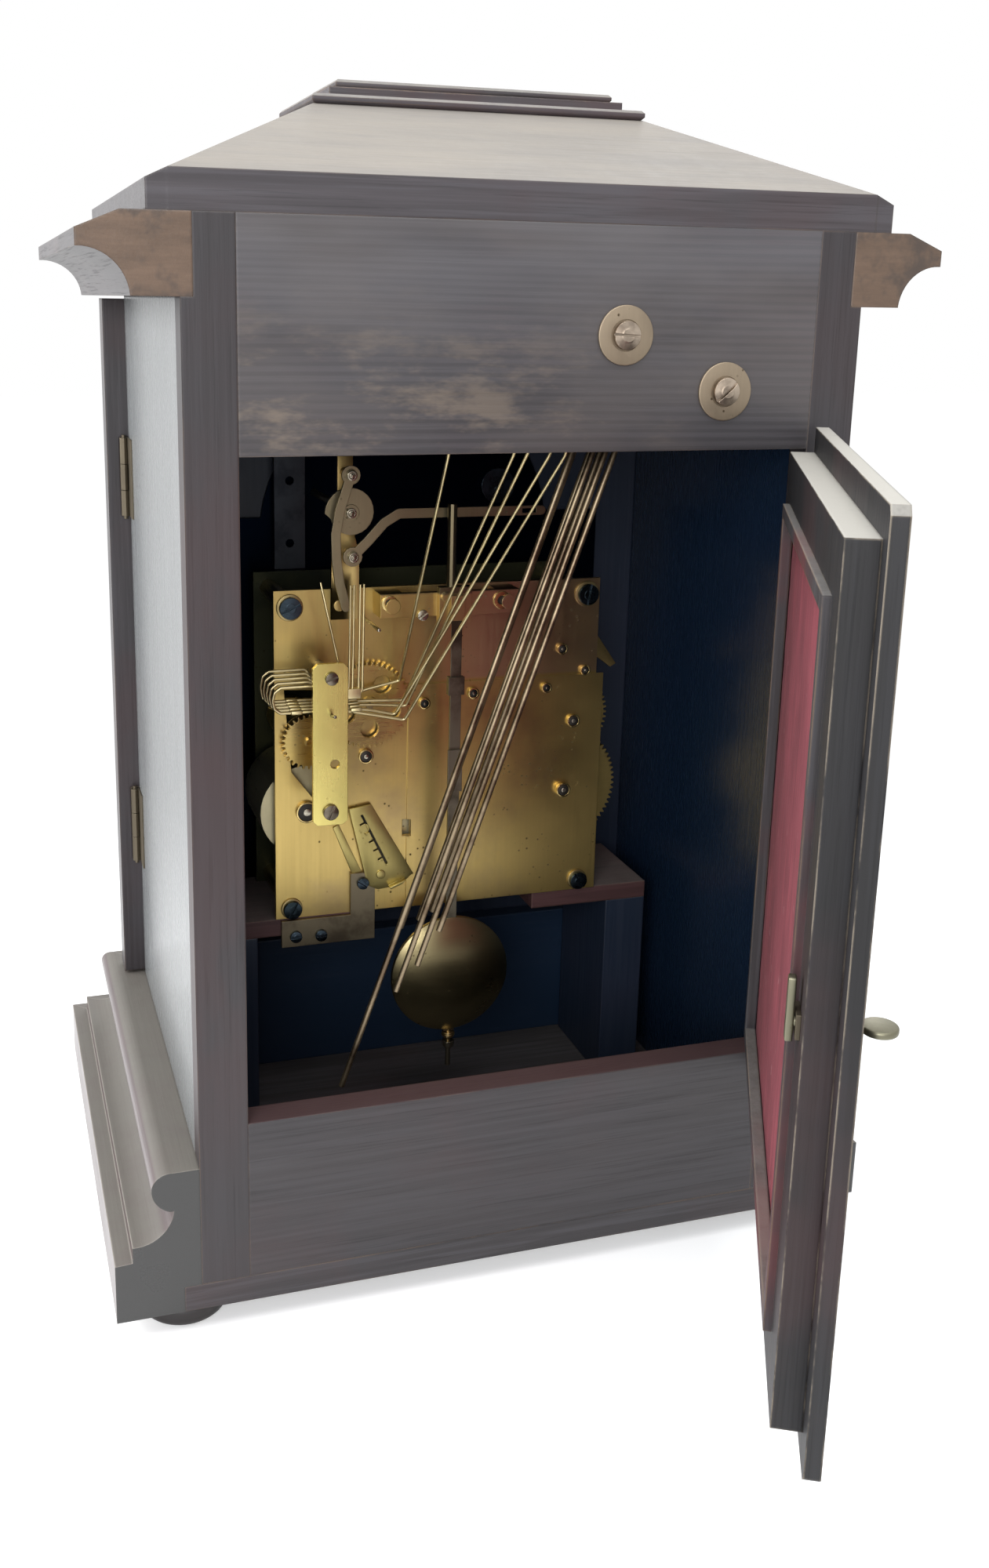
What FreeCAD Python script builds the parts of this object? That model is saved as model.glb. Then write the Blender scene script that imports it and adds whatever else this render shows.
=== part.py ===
import FreeCAD, Part
import math
import os

# Bracket clock. Millimetres. Z = 0 is the table under the feet, X = 0 the case centre line,
# and the dial faces -Y. It is drawn with Y = 0 in the plane of the rear face; save() then
# moves every piece by SHIFT_Y, so that the origin is under the middle of the whole outline.
V = FreeCAD.Vector
os.makedirs("parts", exist_ok=True)

# --- case -----------------------------------------------------------------------------------
HALF, BOARD = 160.0, 12.0               # half width of the carcass, side board thickness
FOOT_H, FOOT_R, FOOT_X, FOOT_Y = 11.0, 21.7, HALF + 6.0, (-24.0, -255.0)
UPPER = HALF - 5.5                      # half width behind the cornice
OPEN_X, OPEN_Z0, OPEN_Z1 = HALF - 23.5, 107.2, 422.9   # rear doorway
REAR_T = 15.0                           # rear stiles and rails
FRONT = -238.0                          # plane of the front door's face
DOOR_T = 17.0                           # front door thickness
SIDE_END = FRONT + DOOR_T               # front end of the side boards
Z_BASE, Z_PLINTH = 24.5, 87.1           # bottom board top, plinth top
Z_CORN, Z_ROOF = 488.9, 522.8           # cornice bottom and top
SHIFT_Y = 8.948                         # rear plane of the case above the origin
BASE_X = HALF + 8.3                          # bottom board half width
ROOF_X, ROOF_Y = HALF + 13.0, -251.0         # roof's vertical edge
ROOF_SIDE_Z, ROOF_REAR_Z, DECK_RISE = Z_ROOF + 12.5, Z_ROOF + 16.9, 54.8
DECK_Z = Z_ROOF + DECK_RISE
DECK_X, DECK_Y = HALF - 76.5, (-88.7, -161.5)
CAP_MID = -125.2
CAPS = ((84.5, 38.2, 4.4), (74.9, 31.5, 4.0), (70.8, 27.5, 4.0))   # half x, half y, height
PLINTH = [(BASE_X, FOOT_H), (HALF + 41, FOOT_H), (HALF + 41, 41.8), (HALF + 32.6, 42.3),
          (HALF + 32.6, 50.4), ("arc", HALF + 18.4, 55.2, HALF + 12.5, 66.9),
          (HALF + 14.6, 66.9), ("arc", HALF + 20.6, 71.6, HALF + 22.9, 79.7),
          ("arc", HALF + 20.2, 84.9, HALF + 13.2, Z_PLINTH), (HALF, Z_PLINTH), (HALF, Z_BASE),
          (BASE_X, Z_BASE)]
CORNICE = [(UPPER, Z_CORN), (HALF + 20, Z_CORN),
           ("arc", HALF + 26.3, Z_CORN + 13.6, HALF + 41.4, Z_CORN + 19.2),
           (HALF + 41.4, Z_CORN + 26.4), (HALF + 23.3, Z_ROOF), (UPPER, Z_ROOF)]
# --- doors ----------------------------------------------------------------------------------
REAR_AXIS, REAR_ANGLE = (-OPEN_X - 5.5, 3.0), 62.8      # rear door hinge line, opening at rest
RD_X, RD_Z0, RD_Z1, RD_IN = OPEN_X - 1.0, OPEN_Z0 + 1.0, OPEN_Z1 - 1.0, -11.0   # frame inside the doorway
RD_W = 22.0                             # member width
LAP = (-OPEN_X - 2.4, OPEN_X + 10.5, OPEN_Z0 - 10.7, OPEN_Z1 + 10.6, 6.2)   # lapping board
LAP_GAP = 0.2
BEAD, BEAD_Y = 6.0, (-14.0, -9.0)
PIN_R, FIT, KNUCKLE_R = 1.2, 0.05, 2.75
REAR_HINGES = ((334.0, 371.0), (161.0, 198.0))
LATCH_X, LATCH_Z, SPINDLE_R = OPEN_X - 14.5, 257.0, 2.0
FD_X, FD_Z0, FD_Z1 = HALF + 12.0, Z_PLINTH + 1.5, Z_CORN - 1.5
FRONT_AXIS = (HALF + 2.9, -218.4)
KNOB_X = 10.0 - HALF                    # front door's knob
FRONT_HINGES = ((368.0, 412.0), (161.0, 206.0))
ARCH_Z, SHOULDER_Z = 355.0, 366.0       # break arch centre and shoulders
GLASS_X, GLASS_R, GLASS_Z0 = 124.0, 90.0, 120.0
# --- movement -------------------------------------------------------------------------------
MX, PLATE_X, PLATE_Z0, PLATE_Z1 = 1.2, 94.2, 150.0, 337.6
BACK, FRONT_PLATE, PLATE_T = -135.0, -196.0, 3.0
DIAL_Y, DIAL_X, DIAL_Z0, DIAL_R = -211.0, 122.0, 122.0, 88.0
HAND = (0.0, 244.0)
SUB_X, SUB_Z = 56.0, 380.0
SEAT_Z0, SEAT_X, SEAT_Y = 140.0, HALF - 29.0, (-135.0, -201.0)
PEND_Y, PEND_Z = -112.0, 322.0
BOB_Z, BOB_R, BOB_T = 116.5, 34.5, 16.0
STUD = (71.0, 284.0)                    # hammer stud
ROD_DIR = (0.333, 0.0, -0.943)


def box(x0, x1, y0, y1, z0, z1):
    return Part.makeBox(abs(x1 - x0), abs(y1 - y0), abs(z1 - z0),
                        V(min(x0, x1), min(y0, y1), min(z0, z1)))


def rod(p, q, r, hole=False, n=None):
    """A turned piece from p to q. Small ones are drawn with flats, inside the circle for a
    shaft and outside it for a hole, so that a shaft always turns freely in its hole. n gives
    the number of flats, and 0 a true circle."""
    p, q = V(*p), V(*q)
    if n == 0 or (n is None and r >= 9.0):
        return Part.makeCylinder(r, (q - p).Length, p, q - p)
    n = n or (6 if r < 1.1 else 8 if r < 2.1 else 10 if r < 4.5 else 14)
    way = (q - p).normalize()
    u = way.cross(V(0, 0, 1) if abs(way.z) < 0.9 else V(1, 0, 0)).normalize()
    v = way.cross(u)
    reach = r / math.cos(math.pi / n) if hole else r
    ring = [p + u * (reach * math.cos(2 * math.pi * k / n)) + v * (reach * math.sin(2 * math.pi * k / n))
            for k in range(n)]
    return Part.Face(Part.makePolygon(ring + ring[:1])).extrude(q - p)


def cyl(x, y0, y1, z, r, hole=False, n=None):
    """A turned piece along Y."""
    return rod((x, min(y0, y1), z), (x, max(y0, y1), z), r, hole, n)


def bore(x, y0, y1, z, r, n=None):
    """A hole along Y for a shaft of radius r, with the running clearance."""
    return cyl(x, y0, y1, z, r + FIT, True, n)


def post(x, y, z0, z1, r, hole=False, n=None):
    """A turned piece along Z."""
    return rod((x, y, min(z0, z1)), (x, y, max(z0, z1)), r, hole, n)


def stack(rows, n, place):
    """A turned form drawn with n flats; rows are (radius, height), place(u, v, h) a point."""
    wires = []
    for r, h in rows:
        ring = [place(r * math.cos(2 * math.pi * k / n), r * math.sin(2 * math.pi * k / n), h)
                for k in range(n)]
        wires.append(Part.makePolygon(ring + ring[:1]))
    return Part.makeLoft(wires, True, True)


def wire_rod(points, r):
    """A bent wire: straight runs, each run on a little way past its bends."""
    out = None
    for p, q in zip(points, points[1:]):
        a, b = V(*p), V(*q)
        over = (b - a).normalize() * (0.3 * r)
        piece = rod(a - over, b + over, r)
        out = piece if out is None else out.fuse(piece)
    return out


def prism(outline, plane, lo, hi):
    """Extrudes an outline; ("arc", mid, end) rows are three-point arcs."""
    at = {"x": lambda u, v: V(lo, u, v), "y": lambda u, v: V(u, lo, v),
          "z": lambda u, v: V(u, v, lo)}[plane]
    rows = list(outline) + [outline[0]]
    edges, here = [], at(*rows[0])
    for row in rows[1:]:
        if row[0] == "arc":
            end = at(row[3], row[4])
            edges.append(Part.Arc(here, at(row[1], row[2]), end).toShape())
        else:
            end = at(*row)
            if (end - here).Length < 1e-6:
                continue
            edges.append(Part.LineSegment(here, end).toShape())
        here = end
    face = Part.Face(Part.Wire(edges))
    way = {"x": V(1, 0, 0), "y": V(0, 1, 0), "z": V(0, 0, 1)}[plane]
    return face.extrude(way * (hi - lo))


def mirror(shape):
    return shape.mirror(V(0, 0, 0), V(1, 0, 0))


def turned(shape, axis_point, axis, angle):
    out = shape.copy()
    out.rotate(V(*axis_point), V(*axis), angle)
    return out


def save(name, *shapes):
    solids = []
    for s in shapes:
        moved = s.copy()
        moved.translate(V(0, SHIFT_Y, 0))
        solids += moved.Solids
    (solids[0] if len(solids) == 1 else Part.makeCompound(solids)).exportStep(f"parts/{name}.step")


def frame4(x0, x1, y0, y1, z0, z1, w):
    """Two stiles with two rails between them."""
    return [box(x0, x0 + w, y0, y1, z0, z1), box(x1 - w, x1, y0, y1, z0, z1),
            box(x0 + w, x1 - w, y0, y1, z0, z0 + w), box(x0 + w, x1 - w, y0, y1, z1 - w, z1)]


def arch_outline(half, z0, r, grow=0.0):
    """Break-arch outline in XZ."""
    half, z0, r = half + grow, z0 - grow, r + grow
    top = SHOULDER_Z + grow
    c = math.sqrt(r * r - (top - ARCH_Z) ** 2)
    return [(-half, z0), (half, z0), (half, top), (c, top),
            ("arc", 0, ARCH_Z + r, -c, top), (-half, top)]


# --- case pieces ----------------------------------------------------------------------------
def moulding(profile):
    """Left, right and front runs of a moulding, mitred at the two front corners."""
    reach = 260.0
    flip = []
    for row in profile:
        if row[0] == "arc":
            flip.append(("arc", FRONT - (row[1] - HALF), row[2], FRONT - (row[3] - HALF), row[4]))
        else:
            flip.append((FRONT - (row[0] - HALF), row[1]))
    m = 120.0
    region = prism([(HALF - 20, FRONT + 20), (HALF + m, FRONT - m), (-HALF - m, FRONT - m),
                    (20 - HALF, FRONT + 20)], "z", 0, 700)
    side = prism(profile, "y", 0, FRONT - 60).cut(region)
    return [side, mirror(side), prism(flip, "x", -reach, reach).common(region)]


def case():
    save("bun_feet", *[foot(sx * FOOT_X, y) for sx in (1, -1) for y in FOOT_Y])
    save("bottom_board", box(-BASE_X, BASE_X, 0, FRONT - (BASE_X - HALF), FOOT_H, Z_BASE))
    save("plinth_mouldings", *moulding(PLINTH))
    save("cornice_mouldings", *moulding(CORNICE))
    side = prism([(HALF - BOARD, Z_BASE), (HALF, Z_BASE), (HALF, Z_CORN), (UPPER, Z_CORN),
                  (UPPER, Z_ROOF), (HALF - BOARD, Z_ROOF)], "y", -REAR_T, SIDE_END)
    save("side_boards", side, mirror(side))
    stile = prism([(OPEN_X, Z_BASE), (HALF, Z_BASE), (HALF, Z_CORN), (UPPER, Z_CORN),
                   (UPPER, Z_ROOF), (OPEN_X, Z_ROOF)], "y", -REAR_T, 0)
    strike = box(OPEN_X - 1, OPEN_X + 5, -REAR_T - 1, -12.2, LATCH_Z - 9, LATCH_Z + 9)
    hinge_side = mirror(stile)
    for z0, z1 in REAR_HINGES:
        hinge_side = hinge_side.cut(box(-OPEN_X - 8, -OPEN_X + 1, -1, 1, z0, z1))
        hinge_side = hinge_side.cut(box(-OPEN_X - 1, -OPEN_X + 1, -13, 1, z0, z1))
    save("rear_stiles", stile.cut(strike), hinge_side)
    save("rear_rails", box(-OPEN_X, OPEN_X, -REAR_T, 0, Z_BASE, OPEN_Z0),
         box(-OPEN_X, OPEN_X, -REAR_T, 0, OPEN_Z1, Z_ROOF))
    roof()
    inner = HALF - BOARD
    save("front_rails", box(-HALF, HALF, SIDE_END, FRONT, Z_BASE, Z_PLINTH),
         box(-UPPER, UPPER, SIDE_END, FRONT + 5.5, Z_CORN, Z_ROOF),
         box(-inner, inner, SIDE_END, SIDE_END + 19, Z_BASE, 107.0),
         box(-inner, inner, SIDE_END, SIDE_END + 19, 472.0, Z_ROOF),
         box(-inner, inner, -REAR_T, SIDE_END + 19, 505.0, 517.0))
    mask = box(-inner, inner, SIDE_END, SIDE_END + 8, 107.0, 472.0)
    hole = prism(arch_outline(DIAL_X, DIAL_Z0, DIAL_R, -3.0), "y", SIDE_END - 1, SIDE_END + 9)
    mask = mask.cut(hole)
    x = DIAL_X - 3.0
    save("dial_mask", mask.common(box(-200, -x, -300, 0, 0, 600)),
         mask.common(box(x, 200, -300, 0, 0, 600)), mask.common(box(-x, x, -300, 0, 0, 200)),
         mask.common(box(-x, x, -300, 0, 200, 600)))


def foot(x, y):
    rows = [(FOOT_R - 3.0, 0), (FOOT_R, 3.0), (FOOT_R, FOOT_H)]
    return stack(rows, 32, lambda u, v, h: V(x + u, y + v, h))


def roof():
    t = 12.0

    def hull(g):
        a = [(-ROOF_X + g, Z_ROOF), (ROOF_X - g, Z_ROOF), (ROOF_X - g, ROOF_SIDE_Z - g * 0.56),
             (DECK_X - g * 0.4, DECK_Z - g), (g * 0.4 - DECK_X, DECK_Z - g),
             (-ROOF_X + g, ROOF_SIDE_Z - g * 0.56)]
        b = [(-g, Z_ROOF), (-g, ROOF_REAR_Z - g * 0.7), (DECK_Y[0] - g * 0.3, DECK_Z - g),
             (DECK_Y[1] + g * 0.3, DECK_Z - g), (ROOF_Y + g, ROOF_SIDE_Z - g * 0.56),
             (ROOF_Y + g, Z_ROOF)]
        return prism(a, "y", -400, 100).common(prism(b, "x", -300, 300))

    shell = hull(0.0).cut(hull(t))
    rx = ROOF_X - 8.5
    deck = prism([(DECK_X, DECK_Y[0]), (-DECK_X, DECK_Y[0]), (-DECK_X, DECK_Y[1]),
                  (DECK_X, DECK_Y[1])], "z", 500, 700)
    rear = prism([(rx, 0), (DECK_X, DECK_Y[0]), (-DECK_X, DECK_Y[0]), (-rx, 0)], "z", 500, 700)
    front = prism([(ROOF_X, ROOF_Y), (DECK_X, DECK_Y[1]), (-DECK_X, DECK_Y[1]),
                   (-ROOF_X, ROOF_Y)], "z", 500, 700)
    rest = shell.cut(deck).cut(rear).cut(front)
    save("roof_boards", shell.common(rear), shell.common(deck), shell.common(front), rest)
    tiers, z = [], DECK_Z
    for n, (hx, hy, h) in enumerate(CAPS):
        tier = box(-hx, hx, CAP_MID - hy, CAP_MID + hy, z, z + h)
        if n != 1:
            tier = tier.makeChamfer(1.3, [e for e in tier.Edges if abs(e.tangentAt(0).z) < 0.5])
        tiers.append(tier)
        z += h
    save("roof_cap", *tiers)


def interior():
    z1, xi = PLATE_Z0, SEAT_X - 25.0
    seat = prism([(-SEAT_X, SEAT_Y[0]), (-58, SEAT_Y[0]), (-58, SEAT_Y[0] - 25),
                  (39, SEAT_Y[0] - 25), (39, SEAT_Y[0]), (SEAT_X, SEAT_Y[0]),
                  (SEAT_X, SEAT_Y[1]), (-SEAT_X, SEAT_Y[1])], "z", SEAT_Z0, z1)
    save("seat_board", seat)
    support = box(xi, SEAT_X, SEAT_Y[0], SEAT_Y[1] + 1, Z_BASE, SEAT_Z0)
    save("seat_supports", support, mirror(support))
    # gong block on the top rail, with its tilt taken from the two screws behind it
    cx, cz, long, high = -65.2, 462.5, 90.0, 24.0
    tilt = 26.0
    block = box(cx - long / 2, cx + long / 2, -52, -REAR_T, cz - high / 2, cz + high / 2)
    block = turned(block, (cx, 0, cz), (0, 1, 0), -tilt)
    save("gong_block", block)
    over = box(cx - 99, cx + 99, -90, 0, cz - high / 2, cz + 99)
    over = turned(over, (cx, 0, cz), (0, 1, 0), -tilt)
    rods = []
    for x, z_end, y in GONG_RODS:
        k = ROD_DIR[0] / ROD_DIR[2]
        top, end = 490.0, z_end
        rods.append(rod((x + k * (top - 418), y, top), (x + k * (end - 418), y, end), 1.5).cut(over))
    save("gong_rods", *rods)
    screws, washers = [], []
    for x, z in ((-39.5, 475.0), (-90.8, 450.0)):
        washers.append(cyl(x, 0, 1.4, z, 13.4))
        head = cyl(x, 1.4, 4.6, z, 6.4)
        screws.append(head.cut(turned(box(x - 9, x + 9, 3.6, 9, z - 0.6, z + 0.6),
                                      (x, 0, z), (0, 1, 0), 35)))
    nick = box(-93.5, -88.0, -1, 3, 462.4, 465)
    save("gong_fixings", *screws, washers[0], washers[1].cut(nick))


GONG_RODS = ((-30.5, 99.0, -36.0), (-41.5, 148.0, -36.0), (-48.0, 161.0, -36.0),
             (-53.0, 178.5, -36.0), (-36.0, 178.0, -46.0), (-44.5, 181.0, -46.0),
             (-50.0, 185.0, -46.0))


# --- doors ----------------------------------------------------------------------------------
def opened(shape):
    return turned(shape, (REAR_AXIS[0], REAR_AXIS[1], 0), (0, 0, 1), REAR_ANGLE)


def knuckles(axis, z0, z1, rings):
    """Splits a hinge into three knuckles; rings lists the ones wanted."""
    step = (z1 - z0) / 3
    return [(z0 + n * step + 0.15, z0 + (n + 1) * step - 0.15) for n in rings]


def hinges():
    fixed, rear_leaf, front_leaf = [], [], []
    ax, ay = REAR_AXIS
    for z0, z1 in REAR_HINGES:
        leaf = box(ax - 2, -OPEN_X - 1, -1, 0, z0, z1).fuse(
            box(-OPEN_X - 1, -OPEN_X, -13, 0, z0, z1))
        for a, b in knuckles(REAR_AXIS, z0, z1, (0, 2)):
            leaf = leaf.fuse(box(ax - 1.5, ax + 1.5, -0.5, ay, a, b)).fuse(
                post(ax, ay, a, b, KNUCKLE_R))
        leaf = leaf.fuse(post(ax, ay, z0 - 1.5, z1 + 1.5, PIN_R))
        fixed.append(leaf)
        door = box(LAP[0], -RD_X + 1, LAP_GAP, 1.2, z0, z1).fuse(
            box(-RD_X, -RD_X + 1, -9, 1.2, z0, z1))
        for a, b in knuckles(REAR_AXIS, z0, z1, (1,)):
            door = door.fuse(box(ax, -RD_X + 1, LAP_GAP + 0.1, 1.3, a, b)).fuse(
                post(ax, ay, a, b, KNUCKLE_R))
        door = door.cut(post(ax, ay, z0 - 2, z1 + 2, PIN_R + FIT, n=0))
        for a, b in knuckles(REAR_AXIS, z0, z1, (0, 2)):
            door = door.cut(box(ax - 4, ax + 3.0, -1, 7, a - 0.15, b + 0.15))
        rear_leaf.append(door)
    ax, ay = FRONT_AXIS
    r = 2.4
    for z0, z1 in FRONT_HINGES:
        leaf = box(HALF, HALF + 0.9, ay, SIDE_END + 18, z0, z1)
        for a, b in knuckles(FRONT_AXIS, z0, z1, (0, 2)):
            leaf = leaf.fuse(post(ax, ay, a, b, r))
        for a, b in knuckles(FRONT_AXIS, z0, z1, (1,)):
            leaf = leaf.cut(post(ax, ay, a - 0.3, b + 0.3, r + 0.25))
        fixed.append(leaf.fuse(post(ax, ay, z0 - 1.5, z1 + 1.5, PIN_R)))
        door = box(ax - 8, ax + 2, SIDE_END, SIDE_END - 1.0, z0, z1)
        for a, b in knuckles(FRONT_AXIS, z0, z1, (1,)):
            door = door.fuse(box(ax - 1.2, ax + 1.2, ay, SIDE_END, a, b)).fuse(post(ax, ay, a, b, r))
        door = door.cut(post(ax, ay, z0 - 2, z1 + 2, PIN_R + FIT, n=0))
        for a, b in knuckles(FRONT_AXIS, z0, z1, (0, 2)):
            door = door.cut(post(ax, ay, a - 0.15, b + 0.15, r + 0.2))
        front_leaf.append(door)
    save("hinge_leaves", *fixed)
    return rear_leaf, front_leaf


def rear_door(leaves):
    y = LAP_GAP
    inner = frame4(-RD_X, RD_X, RD_IN, y, RD_Z0, RD_Z1, RD_W)
    x0, x1, z0, z1, thick = LAP
    w0, w1 = -RD_X + RD_W - x0, x1 - RD_X + RD_W
    wz0, wz1 = RD_Z0 + RD_W - z0, z1 - RD_Z1 + RD_W
    lap = [box(x0, x0 + w0, y, thick, z0, z1), box(x1 - w1, x1, y, thick, z0, z1),
           box(x0 + w0, x1 - w1, y, thick, z0, z0 + wz0), box(x0 + w0, x1 - w1, y, thick, z1 - wz1, z1)]
    lap[1] = lap[1].makeChamfer(3.0, [e for e in lap[1].Edges
                                     if abs(e.tangentAt(0).y) > 0.5 and e.Vertexes[0].X > x1 - 1])
    spindle = bore(LATCH_X, RD_IN - 3, thick + 3, LATCH_Z, SPINDLE_R)
    cuts = leaves + [spindle]
    for n in (0, 1):
        for c in cuts:
            inner[n] = inner[n].cut(c)
            lap[n] = lap[n].cut(c)
    save("rear_door_frame", *[opened(s) for s in inner])
    save("rear_door_board", *[opened(s) for s in lap])
    in_x, in_z0, in_z1 = RD_X - RD_W, RD_Z0 + RD_W, RD_Z1 - RD_W
    bead = frame4(-in_x, in_x, BEAD_Y[0], BEAD_Y[1], in_z0, in_z1, BEAD)
    save("rear_door_beading", *[opened(s) for s in bead])
    save("rear_door_cloth", opened(box(-in_x, in_x, BEAD_Y[1], BEAD_Y[1] + 1.2, in_z0, in_z1)))
    plate = box(LATCH_X - 5.5, LATCH_X + 5.5, RD_IN - 1.6, RD_IN, LATCH_Z - 4.5, LATCH_Z + 4.5)
    rose = cyl(LATCH_X, thick, thick + 0.8, LATCH_Z, 4.6)
    save("rear_door_brass", *[opened(s) for s in leaves],
         opened(plate.cut(spindle)), opened(rose.cut(spindle)))
    stem = cyl(LATCH_X, RD_IN - 4.7, thick + 3.2, LATCH_Z, SPINDLE_R, n=0)
    disc = post(LATCH_X, thick + 8.6, LATCH_Z - 1.25, LATCH_Z + 1.25, 6.3)
    tongue = box(LATCH_X - 2.2, LATCH_X + 2.2, RD_IN - 4.7, RD_IN - 2.0, LATCH_Z - 7, LATCH_Z + 16)
    save("rear_latch", opened(stem.fuse(disc)), opened(tongue.cut(stem)))


def front_door(leaves):
    hole = prism(arch_outline(GLASS_X, GLASS_Z0, GLASS_R), "y", FRONT - 1, SIDE_END + 1)
    slab = box(-FD_X, FD_X, SIDE_END, FRONT, FD_Z0, FD_Z1).cut(hole)
    rebate = prism(arch_outline(GLASS_X, GLASS_Z0, GLASS_R, 4.0), "y", SIDE_END - 8, SIDE_END + 1)
    slab = slab.cut(rebate)
    x = GLASS_X + 4.0
    big = 400
    parts = [slab.common(box(-big, -x, -big, 0, 0, 600)), slab.common(box(x, big, -big, 0, 0, 600)),
             slab.common(box(-x, x, -big, 0, 0, 240)), slab.common(box(-x, x, -big, 0, 240, 600))]
    lock = bore(KNOB_X, FRONT - 1, SIDE_END + 1, 262, 2.0)
    for c in leaves + [lock]:
        parts[0] = parts[0].cut(c)
        parts[1] = parts[1].cut(c)
    save("front_door_frame", *parts)
    save("front_door_glass", prism(arch_outline(GLASS_X, GLASS_Z0, GLASS_R, 3.8), "y",
                                   SIDE_END - 8, SIDE_END - 6))
    rose = cyl(KNOB_X, FRONT, FRONT - 0.9, 262, 6.0).cut(lock)
    save("front_door_brass", *(leaves + [rose]))
    knob = cyl(KNOB_X, FRONT - 7, SIDE_END - 1, 262, 2.0, n=0).fuse(
        cyl(KNOB_X, FRONT - 7.0, FRONT - 1.2, 262, 3.0)).fuse(cyl(KNOB_X, FRONT - 14, FRONT - 7, 262, 6.0))
    save("front_door_knob", knob)


# --- wheels ---------------------------------------------------------------------------------
def involute(n, module, angle, thin, addendum, dedendum, phase, half_tooth=0.0):
    """Outline of a spur gear in XZ about (0, 0): a chord inside each involute flank."""
    r, a = n * module / 2, math.radians(angle)
    base = r * math.cos(a)
    out_r, root_r = r + addendum * module, r - dedendum * module
    inv = math.tan(a) - a
    half = math.pi / (2 * n) - thin / r

    def flank(radius):
        if radius <= base:
            return half + inv
        t = math.acos(base / radius)
        return half + inv - (math.tan(t) - t)

    rows = [(root_r, flank(max(root_r, base)))]
    rows += [(out_r, flank(out_r))]
    points = []
    for k in range(n):
        c = phase + 2 * math.pi * k / n
        points += [(rr * math.cos(c - f), rr * math.sin(c - f)) for rr, f in rows]
        points += [(rr * math.cos(c + f), rr * math.sin(c + f)) for rr, f in reversed(rows)]
    return points


def gear(cx, cz, y0, y1, outline):
    return prism([(cx + u, cz + v) for u, v in outline], "y", y0, y1)


def coarse(n, root_r, out_r):
    points = []
    for k in range(n):
        c = 2 * math.pi * k / n
        for rr, f in ((root_r, -0.27), (out_r, -0.13), (out_r, 0.13), (root_r, 0.27)):
            points.append((rr * math.cos(c + f * 2 * math.pi / n),
                           rr * math.sin(c + f * 2 * math.pi / n)))
    return points


GREAT, SECOND = (-73.8, 213.8), (-79.0, 254.8)
GREAT_N, PINION_N = 72, 12
DRUM, CHIME = (77.0, 254.0), (43.5, 272.6)
DRUM_N, CHIME_N = 30, 48


def link(a, b):
    dx, dz = b[0] - a[0], b[1] - a[1]
    return math.hypot(dx, dz), math.atan2(dz, dx)


def wheels():
    d, way = link(GREAT, SECOND)
    m = 2 * d / (GREAT_N + PINION_N)
    great = gear(*GREAT, -141, -143.5, involute(GREAT_N, m, 25, 0.1, 0.8, 1.1, way))
    great = great.fuse(cyl(GREAT[0], -139.5, -141, GREAT[1], 9, n=16))
    great = great.cut(bore(GREAT[0], -130, -150, GREAT[1], 3, 0))
    save("strike_great", great)
    gap = way + math.pi + math.pi / PINION_N
    pinion = gear(*SECOND, -140.2, -145, involute(PINION_N, m, 25, 0.1, 0.8, 1.1, gap))
    wheel = gear(*SECOND, -147, -149, coarse(54, 25.0, 26.8))
    for k in range(4):
        wheel = wheel.cut(turned(box(SECOND[0] + 6.5, SECOND[0] + 21, -150, -146, SECOND[1] + 2,
                                     SECOND[1] + 13.5), (SECOND[0], 0, SECOND[1]), (0, 1, 0), 90 * k))
    arbor = cyl(SECOND[0], -145, -192, SECOND[1], 2.2).fuse(
        cyl(SECOND[0], -138.4, -140.2, SECOND[1], 2.2))
    whole = pinion.fuse(wheel).fuse(arbor).fuse(cyl(SECOND[0], -145, -147, SECOND[1], 5.0))
    save("strike_second", whole.cut(bore(SECOND[0], -130, -200, SECOND[1], 1.2, 0)))
    d, way = link(DRUM, CHIME)
    m = 2 * d / (DRUM_N + CHIME_N)
    drum_wheel = gear(*DRUM, -130.5, -133, involute(DRUM_N, m, 20, 0.1, 0.9, 1.15, way))
    drum = cyl(DRUM[0], -144, -190, DRUM[1], 12.0)
    for k in range(10):
        y = -146.5 - 4.1 * k
        peg = box(DRUM[0] + 11.5, DRUM[0] + 14, y - 0.5, y + 0.5, DRUM[1] - 0.5, DRUM[1] + 0.5)
        drum = drum.fuse(turned(peg, (DRUM[0], 0, DRUM[1]), (0, 1, 0), 36 * k + 8))
    axle = cyl(DRUM[0], -128.5, -192, DRUM[1], 2.5)
    save("pin_barrel", drum_wheel.fuse(drum).fuse(axle))
    gap = way + math.pi + math.pi / CHIME_N
    chime = gear(*CHIME, -130.5, -133, involute(CHIME_N, m, 20, 0.1, 0.9, 1.15, gap))
    chime = chime.fuse(cyl(CHIME[0], -129.2, -130.5, CHIME[1], 5))
    for k in range(5):
        chime = chime.cut(turned(cyl(CHIME[0] + 13.5, -129, -134, CHIME[1], 5.2),
                                 (CHIME[0], 0, CHIME[1]), (0, 1, 0), 72 * k + 20))
    save("chime_wheel", chime.cut(bore(CHIME[0], -125, -140, CHIME[1], 1.8, 0)))


PIVOTS = ((44.2, 242.4, 3.0), (77.7, 212.6, 5.0), (-70.9, 297.6, 2.0), (-85.5, 284.3, 1.8),
          (-61.7, 275.6, 1.8), (-17.7, 275.1, 2.0), (-21.4, 327.5, 1.8), (10.9, 271.0, 2.0))


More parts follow.
